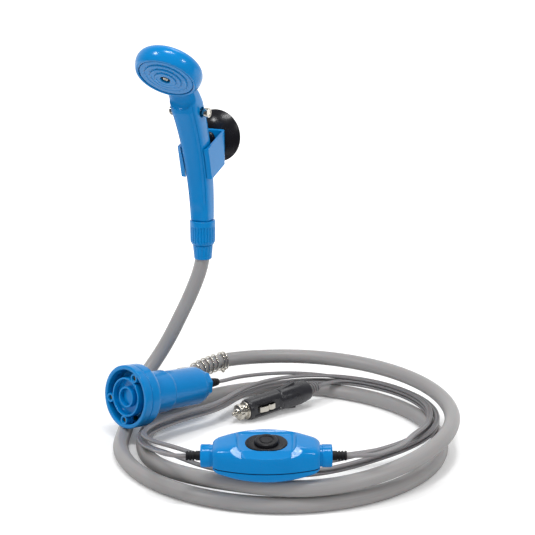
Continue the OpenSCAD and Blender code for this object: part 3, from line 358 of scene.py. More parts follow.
# %% Blue ABS
material, tree, shader, spot = blank("abs_moulded_blue", IOR=1.54, Specular_IOR_Level=0.32)
drift = add(tree, "ShaderNodeTexNoise", {"Vector": spot, "Scale": per_mm(30), "Detail": 2.0})
tone = add(tree, "ShaderNodeMix", {0: drift.outputs["Fac"], 6: linear("#0078bc"), 7: linear("#0082c8")},
           data_type="RGBA")
tree.links.new(tone.outputs[2], shader.inputs["Base Color"])
sheen = add(tree, "ShaderNodeTexNoise", {"Vector": spot, "Scale": per_mm(4), "Detail": 3.0})
gloss = add(tree, "ShaderNodeMapRange", {"Value": sheen.outputs["Fac"], "To Min": 0.14, "To Max": 0.21})
tree.links.new(gloss.outputs["Result"], shader.inputs["Roughness"])
grain = add(tree, "ShaderNodeTexNoise", {"Vector": spot, "Scale": per_mm(0.6), "Detail": 1.0})
relief = add(tree, "ShaderNodeBump", {"Height": grain.outputs["Fac"], "Strength": 0.06, "Distance": 0.0002})
tree.links.new(relief.outputs["Normal"], shader.inputs["Normal"])
BLUE = (material, "blue_abs")
print(material.name)

# %% [markdown]
# ## Black ABS
# The switch's plate and its button are black ABS from a spark-eroded tool. That gives a satin
# skin: the black goes grey where light grazes it. A fine bump and a fairly rough base do this,
# with a slow drift of tone so that the flat faces aren't dead. The plug is a greyer batch.

# %% Black ABS
BLACKS = []
for name, dark, light, shine in (("abs_moulded_black", "#131316", "#1e1e22", 0.2),
                                 ("abs_plug_black", "#202024", "#2c2c31", 0.5)):
    material, tree, shader, spot = blank(name, IOR=1.54, Specular_IOR_Level=shine)
    drift = add(tree, "ShaderNodeTexNoise", {"Vector": spot, "Scale": per_mm(12), "Detail": 3.0})
    tone = add(tree, "ShaderNodeMix", {0: drift.outputs["Fac"], 6: linear(dark), 7: linear(light)},
               data_type="RGBA")
    tree.links.new(tone.outputs[2], shader.inputs["Base Color"])
    gloss = add(tree, "ShaderNodeMapRange", {"Value": drift.outputs["Fac"], "To Min": 0.22, "To Max": 0.34})
    tree.links.new(gloss.outputs["Result"], shader.inputs["Roughness"])
    grain = add(tree, "ShaderNodeTexNoise", {"Vector": spot, "Scale": per_mm(0.5), "Detail": 2.0})
    relief = add(tree, "ShaderNodeBump", {"Height": grain.outputs["Fac"], "Strength": 0.15,
                                          "Distance": 0.0002})
    tree.links.new(relief.outputs["Normal"], shader.inputs["Normal"])
    BLACKS.append((material, "black_plastic"))
BLACK, PLUG_BLACK = BLACKS
print(BLACK[0].name, PLUG_BLACK[0].name)

# %% [markdown]
# ## Black rubber
# The suction cup is soft black vinyl with a wet shine, so that it grips glass. The gland, the
# cable reliefs and the seals are a duller rubber of the same black. Two materials share the
# idea: a deep colour, dust-fine specks of tone, and a roughness that sets them apart.

# %% Black rubber
def speckled(name, slot, size, detail, dark, light, low, high, **constants):
    """A finish in which one noise, of a size in millimetres, sets the colour and the roughness."""
    material, tree, shader, spot = blank(name, **constants)
    speck = add(tree, "ShaderNodeTexNoise", {"Vector": spot, "Scale": per_mm(size), "Detail": detail})
    tone = add(tree, "ShaderNodeMix", {0: speck.outputs["Fac"], 6: linear(dark), 7: linear(light)},
               data_type="RGBA")
    tree.links.new(tone.outputs[2], shader.inputs["Base Color"])
    gloss = add(tree, "ShaderNodeMapRange", {"Value": speck.outputs["Fac"], "To Min": low, "To Max": high})
    tree.links.new(gloss.outputs["Result"], shader.inputs["Roughness"])
    return material, slot


CUP_BLACK = speckled("vinyl_glossy_black", "black_rubber", 9, 4.0, "#0f0f14", "#1b1b21", 0.18, 0.34,
                     IOR=1.52, Specular_IOR_Level=0.35)
RUBBER = speckled("rubber_dull_black", "black_rubber", 2.5, 4.0, "#121214", "#222226", 0.42, 0.6,
                  IOR=1.52, Specular_IOR_Level=0.3)
print(CUP_BLACK[0].name, RUBBER[0].name)

# %% [markdown]
# ## Grey vinyl for the hose and the cable
# Both are extruded soft vinyl. The die leaves faint lines along the run, and light goes a
# little way in, which softens the shade on the round side. Object coordinates would draw those
# lines straight through the coil, so each cord carries two attributes of its own: the distance
# along it and the angle round it. Noise stretched along the run gives the die lines.

# %% Grey vinyl
VINYL = []
for name, dark, light, low, high in (("vinyl_hose_grey", "#8c8a8a", "#a09e9e", 0.28, 0.4),
                                     ("vinyl_cable_grey", "#6f6d6f", "#8a888a", 0.24, 0.34)):
    material, tree, shader, spot = blank(name, IOR=1.53, Specular_IOR_Level=0.35,
                                         Subsurface_Weight=0.12, Subsurface_Scale=0.002)
    along = add(tree, "ShaderNodeAttribute", {}, attribute_name="along")
    around = add(tree, "ShaderNodeAttribute", {}, attribute_name="around")
    round_x = add(tree, "ShaderNodeMath", {0: around.outputs["Fac"]}, operation="COSINE")
    round_y = add(tree, "ShaderNodeMath", {0: around.outputs["Fac"]}, operation="SINE")
    skin = add(tree, "ShaderNodeCombineXYZ", {"X": round_x.outputs[0], "Y": round_y.outputs[0],
                                              "Z": along.outputs["Fac"]})
    lines = add(tree, "ShaderNodeTexNoise", {"Vector": skin.outputs[0], "Scale": 9.0, "Detail": 3.0})
    drift = add(tree, "ShaderNodeTexNoise", {"Vector": spot, "Scale": per_mm(60), "Detail": 2.0})
    both = add(tree, "ShaderNodeMath", {0: lines.outputs["Fac"], 1: drift.outputs["Fac"]}, operation="ADD")
    half = add(tree, "ShaderNodeMath", {0: both.outputs[0], 1: 0.5}, operation="MULTIPLY")
    tone = add(tree, "ShaderNodeMix", {0: half.outputs[0], 6: linear(dark), 7: linear(light)},
               data_type="RGBA")
    tree.links.new(tone.outputs[2], shader.inputs["Base Color"])
    gloss = add(tree, "ShaderNodeMapRange", {"Value": lines.outputs["Fac"], "To Min": low, "To Max": high})
    tree.links.new(gloss.outputs["Result"], shader.inputs["Roughness"])
    relief = add(tree, "ShaderNodeBump", {"Height": lines.outputs["Fac"], "Strength": 0.12,
                                          "Distance": 0.0004})
    tree.links.new(relief.outputs["Normal"], shader.inputs["Normal"])
    VINYL.append((material, "grey_pvc"))
HOSE_GREY, CABLE_GREY = VINYL
print(HOSE_GREY[0].name, CABLE_GREY[0].name)

# %% [markdown]
# ## Metals
# Spring, clip, flow pin and plug contacts are nickel-plated steel, a touch warmer than chrome.
# The cover screws and bearings are brass, the motor's can is plain steel, and the armature is
# copper-coloured. Each has fine scratches or specks in its roughness, because a metal with one
# roughness all over looks like a computer drawing.

# %% Metals
NICKEL, STEEL, BRASS, COPPER = (
    speckled(name, slot, size, 4.0, dark, light, low, high, Metallic=1.0)
    for name, slot, size, dark, light, low, high in (
        ("steel_nickel_plated", "chromed_steel", 1.5, "#c4beb2", "#dedad1", 0.12, 0.26),
        ("steel_plain", "plain_steel", 2.0, "#8d8d8c", "#a3a2a0", 0.3, 0.45),
        ("brass_turned", "brass", 1.2, "#a9854a", "#c09a58", 0.22, 0.38),
        ("copper_enamelled", "brass", 0.9, "#9a5a34", "#b4703f", 0.3, 0.45)))
print([metal[0].name for metal in (NICKEL, STEEL, BRASS, COPPER)])

# %% [markdown]
# ## Ferrite and fuse glass
# Two finishes that are only seen when the part is opened. Ferrite magnets are sintered powder,
# dark and dull with a visible grit. The fuse is a clear glass tube with a slight green tint.

# %% Ferrite and glass
FERRITE = speckled("ferrite_sintered", "ferrite", 0.8, 5.0, "#26262a", "#45454a", 0.55, 0.8, IOR=1.6)
GLASS = speckled("glass_tube", "fuse_glass", 5, 2.0, "#d8e6e0", "#eef4f1", 0.03, 0.1,
                 IOR=1.5, Transmission_Weight=0.85)
print(FERRITE[0].name, GLASS[0].name)

# %% [markdown]
# ## The hose
# One hose of 14 mm runs from the pump's outlet in a short bend into the coil, one and three
# quarter turns round, and then up to the hand shower. A curve object with a bevel would do, but
# a swept grid lets the hose lie flat where it touches the floor and gives it the two attributes
# that its material reads. The route follows the measured model, within 5 mm where the hose is
# free.

# %% Hose route
def coil_point(f):
    """A clockwise spiral: angle 133 - f degrees; radius and height are sums of eased steps in f."""
    f = np.asarray(f, float)
    r = 146 + sum(d * ease(a, b, f) for a, b, d in (
        (0, 95, 10), (108, 190, -10), (175, 255, -20), (303, 388, 15), (393, 463, 5), (473, 553, -3),
        (573, 648, 4)))
    z = 6.661 + sum(d * (1 - ease(a, b, f)) for a, b, d in (
        (15, 108, 4), (113, 198, 12.8), (205, 275, 14.42)))
    return polar(r, np.radians(133 - f), z)


OUTLET = polar(24.5, math.radians(100))
coil_start, coil_heading = coil_point(0), unit(coil_point(0.5) - coil_point(-0.5))
lead = [placed(OUTLET + [0, 0, 108], PUMP), coil_start - 24 * coil_heading, coil_start]


def lead_point(t):
    """A quadratic curve from the outlet to the coil: (1-t)^2 P0 + 2t(1-t) P1 + t^2 P2."""
    t = np.asarray(t, float)[..., None]
    return (1 - t) ** 2 * lead[0] + 2 * t * (1 - t) * lead[1] + t ** 2 * lead[2]


def lead_heading(t):
    """The direction of that curve: its derivative, made one long."""
    t = np.asarray(t, float)[..., None]
    return unit((1 - t) * (lead[1] - lead[0]) + t * (lead[2] - lead[1]))


riser = [(-146.5, -30, 6.661), (-155, -12, 8), (-161, 4.5, 13.5), (-163.1, 21.4, 25), (-160.9, 34.2, 36),
         (-155.5, 44.4, 48.5), (-148.9, 50.9, 62), (-141.7, 55.5, 77.5), (-134.9, 58.9, 93),
         (-127.9, 61.3, 108.5), (-121.2, 62.7, 124.5), (-117.2, 63.3, 135), (-114.3, 63.5, 144.5),
         (-112.7, 63.5, 152), (-112, 63.5, 162)]
hose_route = np.concatenate([
    placed(OUTLET + np.outer([90, 99], [0, 0, 1]), PUMP), lead_point(np.linspace(0, 1, 8))[:-1],
    coil_point(np.linspace(0, 655, 45)), riser])
hose_path = through(hose_route, PUMP[0][:, 2], (0, 0, 1), 2.5)


def length_of(path):
    """The distance along a path at its last point, in metres."""
    return float(far_along(path)[-1]) * MM


print("hose", round(length_of(hose_path), 3), "m in", len(hose_path), "points")


# %% Hose mesh
def make_cord(name, path, section, across, finish, nodes):
    """A closed tube along a path, held at or above the floor, with distance and angle as attributes."""
    rings = swept(path, section, across)
    rings[..., 2] = np.maximum(rings[..., 2], 0)
    rows, columns = rings.shape[:2]
    ends = [list(range(columns))[::-1], list(range((rows - 1) * columns, rows * columns))]
    mesh = bpy.data.meshes.new(name)
    mesh.from_pydata((rings.reshape(-1, 3) * MM).tolist(), [], ring_faces([rings]).tolist() + ends)
    far = far_along(path) * MM
    turn = np.arctan2(section[:, 1], section[:, 0])
    for key, values in (("along", np.repeat(far, columns)), ("around", np.tile(turn, rows))):
        mesh.attributes.new(key, "FLOAT", "POINT").data.foreach_set("value", values.astype(np.float32))
    outward(mesh, 50, merge=False)
    return dressed(mesh, finish, "set", nodes)


hose = make_cord("shower_hose", hose_path, circle(7, 28), np.array([0.123, -0.696, 0.707]), HOSE_GREY,
                 ["hose_lead", "hose_coil", "hose_riser", "hose_cuff"])

# %% [markdown]
# ## The two cables
# The cable is flat twin flex: two round cores side by side, joined by a thin web. It leaves the
# pump, runs round inside the hose, folds back under the switch and comes round again; a second
# length goes on from the switch to the plug. The loops share one wavy radius, found from the
# photograph, and each pass keeps its own distance from it.

# %% Cable routes
def loop_radius(a):
    """Mean radius plus four harmonics of the angle and one bump at the pinched bend."""
    r = np.radians(a)
    wave = sum(c * np.cos(k * r) + s * np.sin(k * r) for k, c, s in (
        (1, 9.7, 16.6), (2, -10.9, 17.1), (3, 1.3, -5.2), (4, -3.3, 2.9)))
    return 116.5 + wave + 8 * np.exp(-(wrapped(a - 215) / 13) ** 2)


def wrapped(a):
    """An angle in degrees brought to between -180 and 180."""
    return (a % 360 + 540) % 360 - 180


def loop_point(a, off, z):
    """A point beside the loop: the offset is measured square to the run, so it grows with the slope."""
    a = np.asarray(a, float)
    slope = np.degrees(loop_radius(a + 0.5) - loop_radius(a - 0.5)) / loop_radius(a)
    r = loop_radius(a) + off * np.hypot(1, slope)
    return polar(r, np.radians(a), z)


CABLE_Z, STEP, SIDE, TURN_BACK, FOLD = 15.422, 3.4, 3.2, -45.0, 16


def lift(a):
    """A low hump where the hose comes down beside the loops."""
    return 4 * np.exp(-(wrapped(a - 241) / 15) ** 2)


def fold(b):
    """A half circle of radius 16 back onto the loop, going down one layer on the way."""
    hub = loop_radius(TURN_BACK) + SIDE - FOLD
    r = hub + FOLD * np.cos(np.radians(b))
    a = np.radians(TURN_BACK) - FOLD * np.sin(np.radians(b)) / hub
    return polar(r, a, CABLE_Z + STEP * (1 - ease(60, 170, b)))


out = 90 - 135 * np.arange(14) / 14
back = TURN_BACK + 615 * np.arange(1, 61) / 60
round_again = 28 + 417 * np.arange(43) / 42
first_loops = np.concatenate([
    loop_point(out, SIDE, CABLE_Z + STEP), fold(30.0 * np.arange(7)),
    loop_point(back, -SIDE - 25.6 * (1 - ease(TURN_BACK, 25, back)) + 6.4 * ease(220, 280, back),
               CABLE_Z + lift(back))])
second_loops = loop_point(round_again, -SIDE,
                          CABLE_Z + STEP * (2 - ease(322, 382, round_again)) + lift(round_again))
print("loops", len(first_loops), len(second_loops), "points")

# %% Cable meshes
first_route = np.concatenate([
    placed([[0, 0, 112], [0, 0, 119], [0, 0, 126]], PUMP),
    [(-88.5, 82, 26.8), (-80, 98, 25.5), (-66.5, 115.5, 24), (-47, 131, 22.6), (-23.5, 142.5, 20.8)],
    first_loops,
    [(-101.5, -80.5, 16.5), (-88, -96, 20.5), (-75, -111, 26.5), (-63, -126, 33), (-53, -140, 39.5),
     (-45, -150.5, 44), (-37, -157, 46.2), (-29.5, -159.8, 47)],
    placed([[-73, 0, 0], [-66, 0, 0], [-60, 0, 0]], CASE)])
second_route = np.concatenate([
    placed([[60, 0, 0], [66, 0, 0], [73, 0, 0]], CASE),
    [(118.5, -90, 45.8), (123.5, -75, 42.5), (125.8, -55, 38.5), (126.5, -33, 34), (125, -8, 29.5),
     (123, 20, 26), (123, 44, 23.6)],
    second_loops, [(3, 141, 18.8), (-4.5, 133.5, 18.6)],
    placed([[0, 0, 110], [0, 0, 103], [0, 0, 97]], PLUG)])
first_path = through(first_route, PUMP[0][:, 2], CASE[0][:, 0], 2.2)
second_path = through(second_route, CASE[0][:, 0], -PLUG[0][:, 2], 2.2)


def twin_section(width, thick, sides=24):
    """Two round cores side by side: half height = root(r^2 - (|x| - r)^2), never less than the web's."""
    a = (np.arange(sides) + 0.5) * 2 * np.pi / sides
    x, r = width / 2 * np.cos(a), thick / 2
    core = np.sqrt(np.maximum(r ** 2 - (np.abs(x) - (width / 2 - r)) ** 2, 0))
    return np.stack([x, np.sign(np.sin(a)) * np.maximum(core, 0.62 * r * (np.abs(x) < width / 2 - r))], -1)


UPRIGHT, FLEX = np.array([0.0, 0.0, 1.0]), twin_section(5.4, 2.7)
pump_cable = make_cord("pump_cable", first_path, FLEX, UPRIGHT, CABLE_GREY,
                       ["cable_lead_pump", "cable_coil_pump", "cable_lead_in"])
plug_cable = make_cord("plug_cable", second_path, FLEX, UPRIGHT, CABLE_GREY,
                       ["cable_lead_out", "cable_coil_plug", "cable_lead_plug"])
print("cables", round(length_of(first_path), 3), round(length_of(second_path), 3), "m")

# %% [markdown]
# ## Kink spring and hose clip
# A plated spring keeps the hose open in its bend behind the pump, and a wire clip with a ball
# end holds the hose on its tube. The spring is a helix about the hose's own curve: the wire's
# middle runs at a fixed distance from it while the angle goes five times round.

# %% Spring and clip
WIRE, SPRING_R, CLIP_R, CLIP_AT = 1.5, 8.41, 8.61, 0.72
turn = np.linspace(0, 2 * np.pi * 5, 301)
t = 0.05 + 0.57 * turn / turn[-1]
heading = lead_heading(t)
side = unit(np.cross(heading, UPRIGHT))
spoke = np.cos(turn)[:, None] * side + np.sin(turn)[:, None] * np.cross(side, heading)
helix = lead_point(t) + SPRING_R * spoke
kink_spring = make("kink_spring_wire", [capped(swept(helix, circle(WIRE / 2, 12), lead_heading(0.4)))],
                   NICKEL, "set", ["kink_spring"])


def looped(radius, wire, place, sides=72):
    """A ring of wire: a circle of the wire's radius, turned at the given radius about the place's axis."""
    edge = circle(wire, 16)[np.r_[0:16, 0]] + [radius, 0]
    return lathe(edge, place, cut=0, sides=sides)


away = lead_heading(CLIP_AT)
CLIP = (turned("z", math.degrees(math.atan2(away[1], away[0])))
        @ turned("y", math.degrees(math.acos(away[2]))), lead_point(CLIP_AT))
half_turn = np.linspace(0, np.pi, 17)
ball = 1.8 * np.stack([np.sin(half_turn), -np.cos(half_turn)], -1)
hose_clip = make("hose_clip_wire", [
    *(looped(CLIP_R, WIRE / 2, inside(CLIP, (0, 0, z))) for z in (-1.6, 1.6)),
    lathe([(0, -2.6), (1.5, -2.6), (1.5, 2.6), (0, 2.6)], inside(CLIP, (9.1, 0, 0)), 0.5, 32),
    lathe(ball, inside(CLIP, (10.8, 0, 0)), 0, 32)], NICKEL, "set", ["hose_clip"])

# %% [markdown]
# ## Handle of the hand shower
# The handle is a moulded shell that leans forward as it rises. Its section is a superellipse,
# between an ellipse and a rectangle, with a raised thumb panel down the front. At the neck the
# panel ends in a ledge with a curved lower edge, like a smile. A loft fits this best: one ring
# for each place on the bent axis. The round pocket for the flow pin is then cut from the side.

# %% Handle
GRIP_BEND, GRIP_LENGTH, GRIP_FOOT = 250, 118, 38.3
NECK_BEND, NECK = 60, math.radians(21)
LEAN = GRIP_LENGTH / GRIP_BEND
GRIP_HALF, WIDER, DEEPER = 10.2, 3.8, 2.736


def bent_axis(lean):
    """The grip follows a circle of 250 mm, the neck one of 60 mm; both lean forward in the y-z plane."""
    low, high = np.minimum(lean, LEAN), np.maximum(lean, LEAN)
    y = -GRIP_BEND * (1 - np.cos(low)) + NECK_BEND * (np.cos(high) - math.cos(LEAN))
    z = GRIP_FOOT + GRIP_BEND * np.sin(low) + NECK_BEND * (np.sin(high) - math.sin(LEAN))
    return np.stack([0 * lean, y, z], -1)


def superellipse(a, n):
    """The radius at each angle of the outline |x|^n + |y|^n = 1."""
    return (np.abs(np.cos(a)) ** n + np.abs(np.sin(a)) ** n) ** (-1 / n)


def handle_rings():
    """Superellipse rings (|x/w|^n + |y/d|^n = 1) across the bent axis, with panel, ledge and soft end.
    Near the ledge the rings bend up at their sides, so that one of them follows its curved edge."""
    a = np.linspace(0, 2 * np.pi, 300, endpoint=False)[None]
    n = 3 - 0.5 * np.sin(a)
    r = superellipse(a, n)
    across = np.abs(r * np.cos(a))
    smile = 5 * np.minimum(across / 0.8, 1) ** 2
    far = np.concatenate([np.linspace(0, 2, 7), np.linspace(2, 112, 70)[1:], np.linspace(112, 122, 34)[1:],
                          np.linspace(122, 136, 48)[1:], np.linspace(136, 154, 24)[1:]])[:, None]
    far = far + smile * ease(104, 120, far) * (1 - ease(124, 142, far))
    bend, past = NECK_BEND * NECK, far - GRIP_LENGTH
    lean = np.minimum(far, GRIP_LENGTH) / GRIP_BEND + np.clip(past, 0, bend) / NECK_BEND
    run = np.maximum(past - bend, 0)[..., None]
    middle = bent_axis(lean) + run * np.stack([0 * lean, -np.sin(lean), np.cos(lean)], -1)
    share = np.minimum(far / GRIP_LENGTH, 1)
    thin = 1 - 0.34 * np.clip(past / bend, 0, 1)
    end = 1 - 0.07 * (1 - ease(0, 1.6, far))
    x = (GRIP_HALF + WIDER * share) * end * r * np.cos(a)
    y = (GRIP_HALF + DEEPER * share) * thin * end * r * np.sin(a)
    front = ease(0.25, 0.7, -np.sin(a))
    ledge = 1 - (1 - np.clip((far - 122 - smile) / 6, 0, 1)) ** 3
    plain = ease(8, 20, far) * (1 - ledge)
    panel = plain * (1.0 - ease(0.63, 0.7, across) - 0.8 * np.exp(-((across - 0.76) / 0.04) ** 2))
    y = y + front * (2.3 * ledge + ease(126, 136, far) - panel)
    return middle + np.stack([x, y * np.cos(lean), y * np.sin(lean)], -1)


PIN = inside(HAND, bent_axis(np.array(LEAN - math.radians(1.5))), ALONG_X)
handle = make("handle_shell", [capped(placed(handle_rings(), HAND)), lathe(
    [(0, 25), (9, 25), (9, 40), (0, 40)], HAND, 0.3)], BLUE, "set", ["handset_body"], 30)
cut_out(handle, [lathe([(0, -30), (4, -30), (4, 10.8), (5.1, 10.8), (5.1, 30), (0, 30)], PIN, 0, 64)], 30)

# %% [markdown]
# ## Spray head
# The head is a flat bell with a fat rounded rim, tipped so that the water leaves forward and
# down. It is a solid of revolution, so a lathe gives it exactly: a rounded front edge, a fuller
# back, and a seat for the spray plate with a thin shadow gap round it.

# %% Spray head
HEAD = inside(HAND, (0, -66.87, 181.57), turned("x", 138.5))
rise = np.radians(np.linspace(-90, 0, 25))
fall = np.radians(np.linspace(0, 52, 25))
rim = np.concatenate([np.stack([23.25 + 8 * np.cos(rise), -9 + 8.5 * np.sin(rise)], -1),
                      np.stack([23.25 + 8 * np.cos(fall), -9 + 12 * np.sin(fall)], -1)[1:]])
dome = np.stack([np.linspace(0, 22.5, 14), -17.5 - 2 * np.cos(np.linspace(0, np.pi / 2, 14))], -1)
seat = [(27.3, 0.75), (26.3, 0.6), (25.8, 0.2), (25.8, -3), (0, -3)]
spun("spray_head_shell", np.concatenate([dome, rim, seat]), HEAD, BLUE, (), 0, 160, sharp=40)

# %% [markdown]
# ## Spray plate
# The plate rises in three low steps towards its middle, and each step's edge is scalloped, two
# scallops for each spray hole at its foot. A lathe alone has round edges, so the radius of the
# step points swings with the angle: r + 0.3 cos(k a). The holes are small black cups at the foot
# of the steps; their black is painted shade for the dark inside of the holes. A dark rubber washer
# lies under the screw in the middle, and its black also paints the shade of the recess round it.

# %% Spray plate
def block(x, y, z, place):
    """A closed box between two values on each axis of the place."""
    corners = np.array([(x[0], y[0]), (x[1], y[0]), (x[1], y[1]), (x[0], y[1])], float)
    return capped(placed(np.stack([np.column_stack([corners, np.full(4, level)]) for level in z]), place))


def scalloped(r, z, a):
    """The edges of the three steps swing in and out, 48, 36 and 24 times round."""
    for edge, count in ((19.6, 48), (14.4, 36), (9.6, 24)):
        r = r + 0.3 * np.cos(count * a) * np.exp(-((r - edge) / 0.8) ** 4)
    return r


spun("spray_plate_face", [
    (0, -2.9), (25.1, -2.9), (25.1, -0.3), (24.5, 0.2), (20.1, 0), (19.7, 0.9), (18.9, 1.05), (18.3, 0.75),
    (14.9, 0.75), (14.5, 1.65), (13.7, 1.8), (13.1, 1.5), (10.1, 1.5), (9.7, 2.3), (8.9, 2.45), (8.3, 2.2),
    (5.2, 2.2), (4.7, 1.9), (4.7, 0.1), (0, 0.1)], HEAD, BLUE, ["spray_plate"], 0.15, 384, scalloped, sharp=25)
# The black of these cups is painted shade: it draws the dark inside of the spray holes.
cups = []
for radius, count, height in ((20.6, 24, 0), (15.4, 18, 0.75), (10.6, 12, 1.5)):
    for k in np.arange(count) * 2 * math.pi / count:
        cups.append(lathe([(0, height - 0.3), (0.35, height - 0.2), (0.42, height + 0.06),
                           (0.25, height + 0.08), (0.2, height), (0, height - 0.1)],
                          inside(HEAD, polar(radius, k)), 0, 12))
make("spray_hole_rings", cups, BLACK, "set")
# A rubber washer under the screw; its black also paints the shade of the recess round the screw.
spun("plate_screw_shade_washer", [(3.9, 0.5), (2.4, 0.5), (2.4, 0.05), (4.65, 0.05), (4.65, 0.5), (3.9, 0.5)],
     HEAD, RUBBER, (), 0.1, 64)
plate_screw = spun("plate_screw_turned", [
    (0, -12), (1.5, -12), (1.5, 0.3), (2.6, 0.3), (2.6, 0.9), (2.1, 1.5), (1.1, 1.75), (0, 1.8)],
    HEAD, NICKEL, ["plate_screw"], 0.2, 64)
for slot in (20, 110):
    cut_out(plate_screw, [block((-1.7, 1.7), (-0.35, 0.35), (1.1, 3),
                                inside(HEAD, (0, 0, 0), turned("z", slot)))])

# %% [markdown]
# ## Flow pin
# A plated pin crosses the neck. Pushed one way it lets the water through, and the other way it
# stops it. Its right end is a plain disc on the shaft and its left end a stack of thin rings.
# Both are turned parts in reality, and lathes here.

# %% Flow pin
make("flow_pin_turned", [
    lathe([(0, -14.2), (3, -14.2), (3, 17.1), (4.6, 17.1), (4.6, 21.06), (3.4, 21.06), (3.1, 20.6), (0, 20.6)],
          PIN, 0.35, 64),
    lathe([(0, -14.16), (4.6, -14.16), (4.6, -15.36), (3.6, -15.36), (3.6, -17.16), (4.6, -17.16),
           (4.6, -18.56), (0, -18.56)], PIN, 0.3, 64)], NICKEL, "flow_pin", ["flow_pin", "flow_pin_cap"])

# %% [markdown]
# ## Hose nut and sleeve
# The nut has a smooth band at the top and broad ribs below it for the fingers; the sleeve under
# it has fewer, wider ribs and narrows onto the hose. A rib pattern is a lathe whose radius dips
# at equal angles: the dip is a narrow bell curve, so that ribs stay broad and grooves thin.

# %% Nut and sleeve
def ribbed(count, depth, width, low, high):
    """Grooves of a bell-shaped section at equal angles, faded out below and above two heights."""
    def wave(r, z, a):
        off = (a * count / (2 * np.pi) + 0.5) % 1 - 0.5
        fade = ease(low, low + 0.7, z) * (1 - ease(high - 0.7, high, z)) * ease(8, 8.3, r)
        return r - depth * np.exp(-(off / width) ** 2) * fade
    return wave


spun("hose_nut_ribbed", [
    (7.2, 20), (7.2, 14.4), (10.6, 14.4), (11.7, 17), (12.0, 17.6), (12.05, 20), (12.1, 24), (12.15, 28),
    (12.2, 32.3), (12.3, 32.9), (12.3, 37.3), (11.7, 38), (9.35, 38), (9.35, 22), (7.2, 20)],
    HAND, BLUE, ["hose_nut"], 0.3, 480, ribbed(26, 0.75, 0.16, 16.6, 32.6), "hose_nut", 45)
spun("hose_sleeve_ribbed", [
    (7.02, 14), (7.02, 0), (8.3, 0), (8.55, 0.7), (8.8, 4), (9.1, 7), (9.4, 10), (9.7, 13.4), (9.3, 14),
    (7.02, 14)], HAND, BLUE, ["hose_sleeve"], 0.25, 320, ribbed(16, 0.5, 0.12, 0.2, 13.6), sharp=45)

# %% [markdown]
# ## Holder
# The bracket is one moulded wall that goes round the back of the handle, with two arms that
# slope with it. Low down the wall thickens to a saddle, and at the front it turns into lips that
# hold the handle. The wall is a closed strip: for each place along the U there is an outer line
# and an inner line, and the inner one blends between a thin wall and the handle's own outline.

# %% Holder bracket
BACK, ARM, PLAY = 18.5, 32, 0.8


def bracket_rings():
    """Outer and inner lines of the U at each place along it; q is the distance forward of the back."""
    u, v = np.linspace(0, 1, 121)[:, None], np.linspace(0, 1, 41)[None]
    wall_out = resampled(soften([(16.3, ARM), (16.3, 0), (-16.3, 0), (-16.3, ARM)], 4, 12), 121)
    wall_in = resampled(soften([(14.1, ARM), (14.1, 2.2), (-14.1, 2.2), (-14.1, ARM)], 2.5, 12), 121)
    reach = (BACK + 10.67) * (1 - v) + (BACK + 17.81) * v

    def lifted(x, q):
        return np.stack([x + 0 * v, BACK - q / ARM * reach,
                         (91.64 + 32 * v) * (1 - q / ARM) + (81 + 30 * v) * q / ARM], -1)

    outer, thin = lifted(wall_out[:, :1], wall_out[:, 1:]), lifted(wall_in[:, :1], wall_in[:, 1:])
    height = 86 + 31 * v + 0 * u
    lean = np.arcsin((height - GRIP_FOOT) / GRIP_BEND)
    angle = np.radians(-32 + 244 * u)
    r = superellipse(angle, 2.6)
    x = (GRIP_HALF + WIDER * lean / LEAN + PLAY) * r * np.cos(angle)
    y = -GRIP_BEND * (1 - np.cos(lean)) + (GRIP_HALF + DEEPER * lean / LEAN + PLAY) * r * np.sin(angle)
    snug = lifted(x, (BACK - y) / reach * ARM)
    blend = (ease(0.34, 0.46, v) * ease(0.05, 0.13, np.minimum(u, 1 - u)))[..., None]
    inner = snug * (1 - blend) + thin * blend
    return np.concatenate([outer, inner[:, ::-1]], axis=1)


STEM = inside(HAND, (0, 0, 115), turned("x", -90))
bracket = make("holder_bracket_shell", [capped(placed(bracket_rings(), HAND))], BLUE, "holder",
               ["holder_bracket"], 35)
cut_out(bracket, [lathe([(0, 12), (4.5, 12), (4.5, 22), (0, 22)], STEM, 0, 48)], 35)
rounding = bracket.modifiers.new("soft edges", "BEVEL")
rounding.width, rounding.segments, rounding.limit_method = 0.0005, 3, "ANGLE"
rounding.angle_limit = math.radians(50)

# %% [markdown]
# ## Suction cup
# A soft vinyl cup on a short stem, with a mushroom knob that snaps through the bracket's back.
# It is turned about its stem. The dome is a parabola that thins towards a flat sealing lip, and
# small steps at the collar catch the light as the real moulding does.

# %% Suction cup
s = np.linspace(0, 1, 30)[1:]
dome_out = np.stack([8 + 17.5 * s, 20.9 + 9.5 * s ** 2], -1)
dome_in = np.stack([21.5 * (1 - s), 23.3 + 7.1 * (1 - s) ** 2], -1)
spun("suction_cup_moulded", np.concatenate([
    [(0, 12.5), (3.6, 12.6), (5.2, 13.2), (6.1, 14.3), (6.2, 15.5), (5.9, 15.9), (4.2, 15.9), (4.2, 18.9),
     (7.6, 18.9), (8, 19.4), (8, 20.9)], dome_out, [(25.5, 31.3), (24.9, 31.4), (23.9, 31.4)], dome_in]),
    STEM, CUP_BLACK, ["suction_cup"], 0, 128, body="cup", sharp=42)

# %% [markdown]
# ## Pump cover
# The pump stands on its front cover in use. The cover has an outer ring, two rings within it and
# three screw bosses, and water is drawn in through the gaps between them. Each ring is a lathe
# of a small rectangle with soft corners, and the floor between the rings rises and falls twice
# round, as a shallow ramp.

# %% Pump cover
def ring(inner, outer, low, high, cut=0.4, sides=144, place=PUMP):
    """A ring with a rectangular section between two radii and two heights, corners softened."""
    middle = (inner + outer) / 2
    return lathe([(middle, high), (inner, high), (inner, low), (outer, low), (outer, high), (middle, high)],
                 place, cut, sides)


